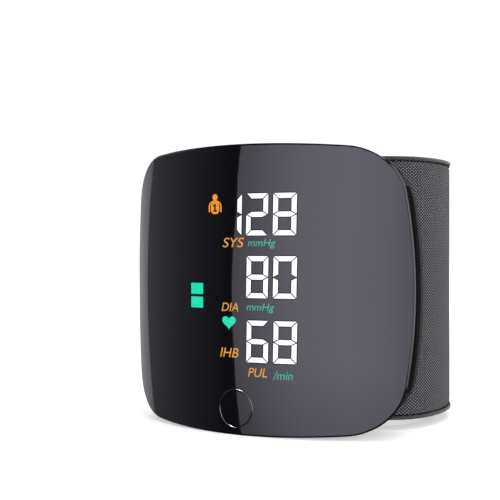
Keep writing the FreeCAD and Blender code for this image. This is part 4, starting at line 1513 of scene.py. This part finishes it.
@dataclass
class Stretch:
    """One half of the cuff: the part that stays with the case, or the arm."""

    shape: CuffShape
    prefix: str
    start: float
    end: float
    body: Body
    tape_width: float = 1.2 * MM
    tape_proud: float = 0.3 * MM
    corner: float = 3.0 * MM
    inset: float = 0.7 * MM
    cell: float = 1.6 * MM

    def free(self) -> float:
        """The end that is bound, away from the fold."""
        return self.end if self.body is Body.CASE else self.start

    def cells(self) -> int:
        """Cells along the stretch."""
        return round((self.end - self.start) / self.cell)

    def reach(self) -> tuple[float, float]:
        """First and last distance of the cloth, kept inside the tape at the bound end.

        Returns:
            The first and the last distance.
        """
        if self.body is Body.CASE:
            return self.start, self.end - self.inset
        return self.start + self.inset, self.end

    def to_edge(self, along: float, up: float) -> float:
        """Distance from a point of the cloth to its nearest bound edge."""
        end = abs(self.free() - along)
        return min(self.shape.edge - abs(up), end)

    def laid(self, name: str, depth: float, thickness: float, relief: Callable[[float, float], float],
             fine: int) -> bpy.types.Object:
        """A layer of the cuff as a thin closed shell.

        Args:
            name: the piece's name.
            depth: depth of its outer face.
            thickness: its thickness.
            relief: extra depth at a place.
            fine: how much finer than the stretch's cells it is.

        Returns:
            The layer.
        """
        first, last = self.reach()
        half = self.shape.edge - self.inset

        def where(u: float, v: float) -> tuple[float, float]:
            """Where a share of each direction lies in the flat cloth."""
            return first + (last - first) * u, half * (2 * v - 1)

        def place(u: float, v: float) -> Vector:
            """A point of the layer."""
            along, up = where(u, v)
            return self.shape.point(along, up, depth + relief(along, up))

        rows = round(2 * half / self.cell) * fine
        piece = mapped_grid(name, self.cells() * fine, rows, place, where)
        apply_modifier(piece, "SOLIDIFY", thickness=thickness, offset=-1.0, use_even_offset=True)
        shade(piece, 50.0)
        return piece

    def outer_cloth(self) -> bpy.types.Object:
        """The outer cloth: drawn tight, with a small dip where the tape is sewn on and at the fold.

        Returns:
            The cloth.
        """

        def relief(along: float, up: float) -> float:
            """Dips beside the tape and at the fold, and a slight ripple.

            Args:
                along: distance from the fold line.
                up: height above the cuff's middle.

            Returns:
                The extra depth.
            """
            dip = 0.30 * MM * math.exp(-((self.to_edge(along, up) - self.tape_width) / (0.6 * MM)) ** 2)
            fold = 0.25 * MM * math.exp(-(along / (0.8 * MM)) ** 2)
            slant = up / (7.3 * MM) + along / (11.0 * MM)
            ripple = 0.03 * MM * math.sin(along / (5.1 * MM)) * math.sin(slant)
            return 0.02 * MM + dip + fold + ripple

        return self.laid(self.prefix + "_shell_cloth", 0.0, 0.7 * MM, relief, 2)

    def lining(self) -> bpy.types.Object:
        """The soft lining: it swells towards the wrist between its bound edges.

        Returns:
            The lining.
        """

        def relief(along: float, up: float) -> float:
            """Swell between the bound edges, and puckers along them.

            Args:
                along: distance from the fold line.
                up: height above the cuff's middle.

            Returns:
                The extra depth.
            """
            near = self.to_edge(along, up)
            swell = 0.55 * MM * math.sin(min(near / (9.0 * MM), 1.0) * math.pi / 2)
            puckers = 0.10 * MM * math.sin(along / (1.9 * MM)) * math.exp(-near / (4.0 * MM))
            return swell + puckers

        return self.laid(self.prefix + "_lining_cloth", 5.7 * MM, 1.0 * MM, relief, 1)

    def bladder(self) -> bpy.types.Object:
        """The air bladder: two films welded flat round their edge.

        Returns:
            The bladder.
        """
        margin = 4.0 * MM
        first, last = self.start + margin, self.end - margin
        half = self.shape.edge - margin
        top, seam, rows = 2.35 * MM, 3.0 * MM, 40
        middle = 3.9 * MM

        def place(side: float) -> Callable[[float, float], Vector]:
            """The shape of one film.

            Args:
                side: 1 for the outer film, -1 for the inner one.

            Returns:
                A function that gives its points.
            """
            def at(u: float, v: float) -> Vector:
                """A point of the film.

                Args:
                    u: share of the first direction, from 0 to 1.
                    v: share of the second direction, from 0 to 1.

                Returns:
                    The point.
                """
                along, up = first + (last - first) * u, half * (2 * v - 1)
                near = min(along - first, last - along, half - abs(up))
                full = min(max((near - seam) / (5.0 * MM), 0.0), 1.0)
                thick = 0.12 * MM + (middle - top - 0.15 * MM) * math.sin(full * math.pi / 2)
                return self.shape.point(along, up, middle - side * thick)
            return at

        outer = mapped_grid(self.prefix + "_air_bladder", self.cells(), rows, place(1.0))
        inner = mapped_grid("bladder_back", self.cells(), rows, place(-1.0))
        edit(inner, bpy.ops.mesh.flip_normals)
        deselect()
        inner.select_set(True)
        outer.select_set(True)
        bpy.context.view_layer.objects.active = outer
        bpy.ops.object.join()
        edit(outer, bridge_open_ends)
        shade(outer, 40.0)
        return outer

    def edge_path(self, step: float) -> list[tuple[float, float, float, float]]:
        """The cuff's bound edge, developed flat, from the fold round the free end and back.

        Args:
            step: longest distance between points.

        Returns:
            Points with their outward direction in the flat cloth, as (along, up, out along, out up).
        """
        sign = 1.0 if self.body is Body.CASE else -1.0
        run = (self.end - self.start) - self.corner
        side = self.shape.edge - self.corner
        path = []
        count = max(2, round(run / step))
        for i in range(count):
            path.append((run * i / count, self.shape.edge, 0.0, 1.0))
        bend = 6
        for i in range(bend + 1):
            turn = math.pi / 2 * (1 - i / bend)
            path.append((run + self.corner * math.cos(turn), side + self.corner * math.sin(turn),
                         math.cos(turn), math.sin(turn)))
        rows = max(2, round(2 * side / step))
        for i in range(1, rows):
            path.append((run + self.corner, side - 2 * side * i / rows, 1.0, 0.0))
        for point in reversed(path[:count + bend + 1]):
            path.append((point[0], -point[1], point[2], -point[3]))
        fold = self.start if sign > 0 else self.end
        return [(fold + sign * a, up, sign * oa, ou) for a, up, oa, ou in path]

    def binding(self) -> bpy.types.Object:
        """The tape folded over the edge, swept round it.

        Returns:
            The tape.
        """
        path = self.edge_path(1.8 * MM)
        half_depth = self.shape.depth / 2 + self.tape_proud
        half_width = self.tape_width / 2
        rounds = 28

        def section(v: float) -> tuple[float, float]:
            """The tape's outline across the edge.

            Args:
                v: share of the second direction, from 0 to 1.

            Returns:
                How far out, and how deep.
            """
            turn = 2 * math.pi * v
            c, s = math.cos(turn), math.sin(turn)
            out = half_width * (math.copysign(abs(c) ** 0.55, c) - 1.0)
            into = self.shape.depth / 2 + half_depth * math.copysign(abs(s) ** 0.35, s)
            return out, into

        def place(u: float, v: float) -> Vector:
            """A point of the tape.

            Args:
                u: share of the first direction, from 0 to 1.
                v: share of the second direction, from 0 to 1.

            Returns:
                The point.
            """
            index = round(u * (len(path) - 1))
            along, up, out_along, out_up = path[index]
            out, into = section(v)
            return self.shape.point(along + out_along * out, up + out_up * out, into)

        def flat(u: float, v: float) -> tuple[float, float]:
            """Cloth coordinates of the tape."""
            return u * 0.3, v * 0.018

        piece = mapped_grid(self.prefix + "_binding_tape", len(path) - 1, rounds, place, flat)
        edit(piece, weld, lambda: bpy.ops.mesh.fill_holes(sides=0), face_outwards)
        shade(piece, 60.0)
        return piece

    def stitches(self) -> bpy.types.Object:
        """The row of dark stitches that holds the tape, in the dip beside it.

        Returns:
            The stitches.
        """
        back, sunk = self.tape_width + 0.12 * MM, 0.12 * MM
        places = []
        for along, up, out_along, out_up in self.edge_path(1.95 * MM):
            along, up = along - out_along * back, up - out_up * back
            places.append(self.shape.seat(along, up, sunk, out_up, -out_along))
        return stitched(self.prefix + "_binding_stitches", 1.98 * MM, 0.42 * MM, places)

    def settle(self, piece: bpy.types.Object, material: bpy.types.Material, slot: str, *nodes: str) -> None:
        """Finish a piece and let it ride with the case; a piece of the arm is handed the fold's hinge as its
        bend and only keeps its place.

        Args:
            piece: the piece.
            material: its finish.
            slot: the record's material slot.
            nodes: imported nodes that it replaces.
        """
        hinge = self.shape.point(0.0, 0.0, 0.0)
        bend = (hinge, hinge + Vector((0.0, 13.0 * MM, 0.0))) if self.body is Body.ARM else None
        finished(piece, material, self.body, slot, *nodes, bend=bend)

    def build(self, finishes: dict[str, bpy.types.Material]) -> None:
        """Build this half of the cuff.

        Args:
            finishes: the cuff's finishes by name.
        """
        first, last = self.reach()
        tape = self.binding()
        self.settle(tape, finishes["tape"], "binding_tape", self.prefix + "_edge_binding")
        thread = self.stitches()
        self.settle(thread, finishes["thread"], "binding_tape")
        cloth = self.outer_cloth()
        self.settle(cloth, finishes["weave"], "woven_fabric", self.prefix + "_outer_fabric")
        lining = self.lining()
        self.settle(lining, finishes["lining"], "lining_fabric", self.prefix + "_lining")
        inner = self.shape.length_at(first, last, 6.0 * MM)
        bladder = self.bladder()
        self.settle(bladder, finishes["film"], "bladder_film", self.prefix + "_bladder")


@dataclass
class Closure:
    """The closing flap on the arm, with its hook patch, and the loop patch that it grips."""

    shape: CuffShape
    tip: float = 52.0
    root: float = 128.0
    half: float = 31.5 * MM
    thickness: float = 1.15 * MM
    lift: float = 1.25 * MM
    round_tip: float = 9.0 * MM
    grip: tuple[float, float] = (57.0, 91.0)

    def height_at(self, along: float) -> float:
        """Half height of the flap at a distance along it, rounded off at its tip.

        Args:
            along: distance from the fold line.

        Returns:
            The half height.
        """
        from_tip = along - self.shape.at_angle(self.tip)
        if from_tip >= self.round_tip:
            return self.half
        inside = self.round_tip - from_tip
        return self.half - self.round_tip + math.sqrt(max(self.round_tip ** 2 - inside ** 2, 0.0))

    def rise_at(self, along: float) -> float:
        """Height of the flap's underside over the cuff, on which it lies at its root only.

        Args:
            along: distance from the fold line.

        Returns:
            The height.
        """
        share = (self.shape.at_angle(self.root) - 2.0 * MM - along) / (11.0 * MM)
        share = min(max(share, 0.0), 1.0)
        return 0.1 * MM + (self.lift - 0.1 * MM) * share * share * (3 - 2 * share)

    def flap(self) -> bpy.types.Object:
        """The flap itself, with a turned and softened edge.

        Returns:
            The flap.
        """
        first, last = self.shape.at_angle(self.tip), self.shape.at_angle(self.root)

        def where(u: float, v: float) -> tuple[float, float]:
            """Where a share of each direction lies in the flat cloth."""
            along = first + (last - first) * (1 - math.cos(u * math.pi / 2)) if u < 1 else last
            return along, self.height_at(along) * (2 * v - 1)

        def place(u: float, v: float) -> Vector:
            """A point of the flap's outside.

            Args:
                u: share of the first direction, from 0 to 1.
                v: share of the second direction, from 0 to 1.

            Returns:
                The point.
            """
            along, up = where(u, v)
            from_edge = min(self.height_at(along) - abs(up), along - first, last - along)
            seam = 0.16 * MM * math.exp(-((from_edge - 2.6 * MM) / (0.6 * MM)) ** 2)
            return self.shape.point(along, up, -self.rise_at(along) - self.thickness + seam)

        piece = mapped_grid("closing_flap", 56, 64, place, where)
        apply_modifier(piece, "SOLIDIFY", thickness=self.thickness, offset=-1.0)
        apply_modifier(piece, "BEVEL", width=0.4 * MM, segments=3, limit_method="ANGLE",
                       angle_limit=math.radians(50))
        self.roll_edges(piece)
        shade(piece, 40.0)
        return piece

    def roll_edges(self, piece: bpy.types.Object) -> None:
        """Let a piece's weave run on round its cut edges.

        Args:
            piece: the piece.
        """
        layer = piece.data.uv_layers["cloth"]
        axis_y, facing = self.shape.loop_y, 0.8
        outside = self.shape.loop_radius + self.lift + self.thickness
        for face in piece.data.polygons:
            out = Vector((face.center.x, face.center.y - axis_y, 0.0)).normalized()
            if abs(face.normal.dot(out)) > facing:
                continue
            onward = UP.cross(out)
            for loop in face.loop_indices:
                corner = piece.data.vertices[piece.data.loops[loop].vertex_index].co
                sunk = outside - math.hypot(corner.x, corner.y - axis_y)
                shift = Vector((face.normal.dot(onward), face.normal.z)) * sunk
                layer.data[loop].uv = layer.data[loop].uv + shift

    def patch(self, name: str, start: float, end: float, half: float, depth: float, thickness: float,
              wrap: float) -> bpy.types.Object:
        """A sewn-on patch with rounded corners.

        Args:
            name: the piece's name.
            start: its first distance along the cuff.
            end: its last distance along the cuff.
            half: its half height.
            depth: depth of its outer face, negative above the cloth.
            thickness: its thickness.
            wrap: how much it swells between its sewn edges.

        Returns:
            The patch.
        """
        corner = 4.0 * MM

        def where(u: float, v: float) -> tuple[float, float]:
            """Where a share of each direction lies in the flat cloth.

            Args:
                u: share of the first direction, from 0 to 1.
                v: share of the second direction, from 0 to 1.

            Returns:
                Distance along the cuff, and height.
            """
            along = start + (end - start) * u
            inside = max(corner - min(along - start, end - along), 0.0)
            high = half - corner + math.sqrt(max(corner ** 2 - inside ** 2, 0.0))
            return along, high * (2 * v - 1)

        def place(u: float, v: float) -> Vector:
            """A point of the patch's outside.

            Args:
                u: share of the first direction, from 0 to 1.
                v: share of the second direction, from 0 to 1.

            Returns:
                The point.
            """
            along, up = where(u, v)
            near = min(along - start, end - along, half - abs(up))
            return self.shape.point(along, up, depth - wrap * min(near / (2.5 * MM), 1.0))

        piece = mapped_grid(name, 40, 72, place, where)
        apply_modifier(piece, "SOLIDIFY", thickness=thickness, offset=-1.0)
        shade(piece, 45.0)
        return piece

    def border_stitches(self) -> bpy.types.Object:
        """The stitched line round the flap.

        Returns:
            The stitches.
        """
        first, last = self.shape.at_angle(self.tip), self.shape.at_angle(self.root)
        inset, pitch = 2.6 * MM, 2.5 * MM
        line = []
        steps = 400
        for i in range(steps + 1):
            along = first + inset + (last - first - 2 * inset) * i / steps
            line.append((along, self.height_at(along - inset * 0.6) - inset))
        ring = [(a, -z) for a, z in line] + [(a, z) for a, z in reversed(line)]
        ring.append(ring[0])
        places = []
        walked = 0.0
        for (a0, z0), (a1, z1) in zip(ring, ring[1:]):
            length = math.hypot(a1 - a0, z1 - z0)
            while walked <= length:
                share = walked / length if length else 0.0
                along, up = a0 + (a1 - a0) * share, z0 + (z1 - z0) * share
                if length:
                    top = -self.rise_at(along) - self.thickness + 0.1 * MM
                    places.append(self.shape.seat(along, up, top, a1 - a0, z1 - z0))
                walked += pitch
            walked -= length
        return stitched("flap_stitches", 2.0 * MM, 0.4 * MM, places)

    def build(self, finishes: dict[str, bpy.types.Material]) -> None:
        """Build the closure.

        Args:
            finishes: the cuff's finishes by name.
        """
        flap = self.flap()
        finished(flap, finishes["weave"], Body.ARM, "woven_fabric", "closure_flap")
        thread = finished(self.border_stitches(), finishes["thread"], Body.ARM, "binding_tape")
        width = self.shape.at_angle(self.root) - self.shape.at_angle(self.tip)
        under = -self.lift + 0.02 * MM
        first, last = (self.shape.at_angle(degrees) for degrees in self.grip)
        hooks = self.patch("hook_tape", first, last, self.half - 3.5 * MM, under, 0.45 * MM, 0.0)
        finished(hooks, finishes["hooks"], Body.ARM, "hook_tape", "hook_patch")
        to_end = self.shape.fixed_length - self.shape.at_angle(self.shape.fixed_end - 360.0)
        start, end = to_end + first, to_end + last
        loops = self.patch("loop_tape", start, end, self.half, -0.12 * MM, 0.6 * MM, 0.22 * MM)
        finished(loops, finishes["loops"], Body.CASE, "loop_tape", "loop_patch")


@dataclass
class Cuff:
    """The whole cuff: both stretches and the closure."""

    def build(self) -> None:
        """Build the cuff."""
        grey, pale = (0.0035, 0.0035, 0.0045), (0.33, 0.325, 0.365)
        finishes = {
            "weave": Woven("shell_weave", grey, pale, 0.54 * MM, 0.42 * MM, 0.1 * MM, 0.3, 0.06).build(),
            "tape": Woven("binding_weave", (0.02, 0.02, 0.022), (0.055, 0.055, 0.06), 0.3 * MM, 0.25 * MM,
                          0.03 * MM, 0.8, specular=0.5, roughness=0.5).build(),
            "thread": Moulded("sewing_thread", (0.004, 0.004, 0.005), 0.8, 6000.0, specular=0.2).build(),
            "lining": Napped("brushed_lining", (0.02, 0.02, 0.022), (0.07, 0.07, 0.078), 0.55 * MM,
                             0.15 * MM).build(),
            "film": Moulded("bladder_film", (0.22, 0.25, 0.3), 0.3, 1500.0).build(),
            "hooks": Napped("hook_tape", (0.004, 0.004, 0.004), (0.05, 0.05, 0.052), 0.9 * MM, 0.4 * MM,
                            0.1).build(),
            "loops": Napped("loop_tape", (0.012, 0.012, 0.013), (0.07, 0.07, 0.075), 0.6 * MM, 0.3 * MM,
                            0.6).build(),
        }
        shape = CuffShape()
        Stretch(shape, "cuff", 0.0, shape.fixed_length, Body.CASE).build(finishes)
        Stretch(shape, "arm", -shape.arm_length, 0.0, Body.ARM).build(finishes)
        Closure(shape).build(finishes)


def main() -> None:
    """Build the studio, then dress and add every piece."""
    logging.basicConfig(level=logging.INFO, format="%(name)s: %(message)s")
    Groups.build()
    Studio().build()
    HardParts().dress()
    Display().build()
    Cuff().build()
    deselect()


if __name__ == "__main__":
    main()
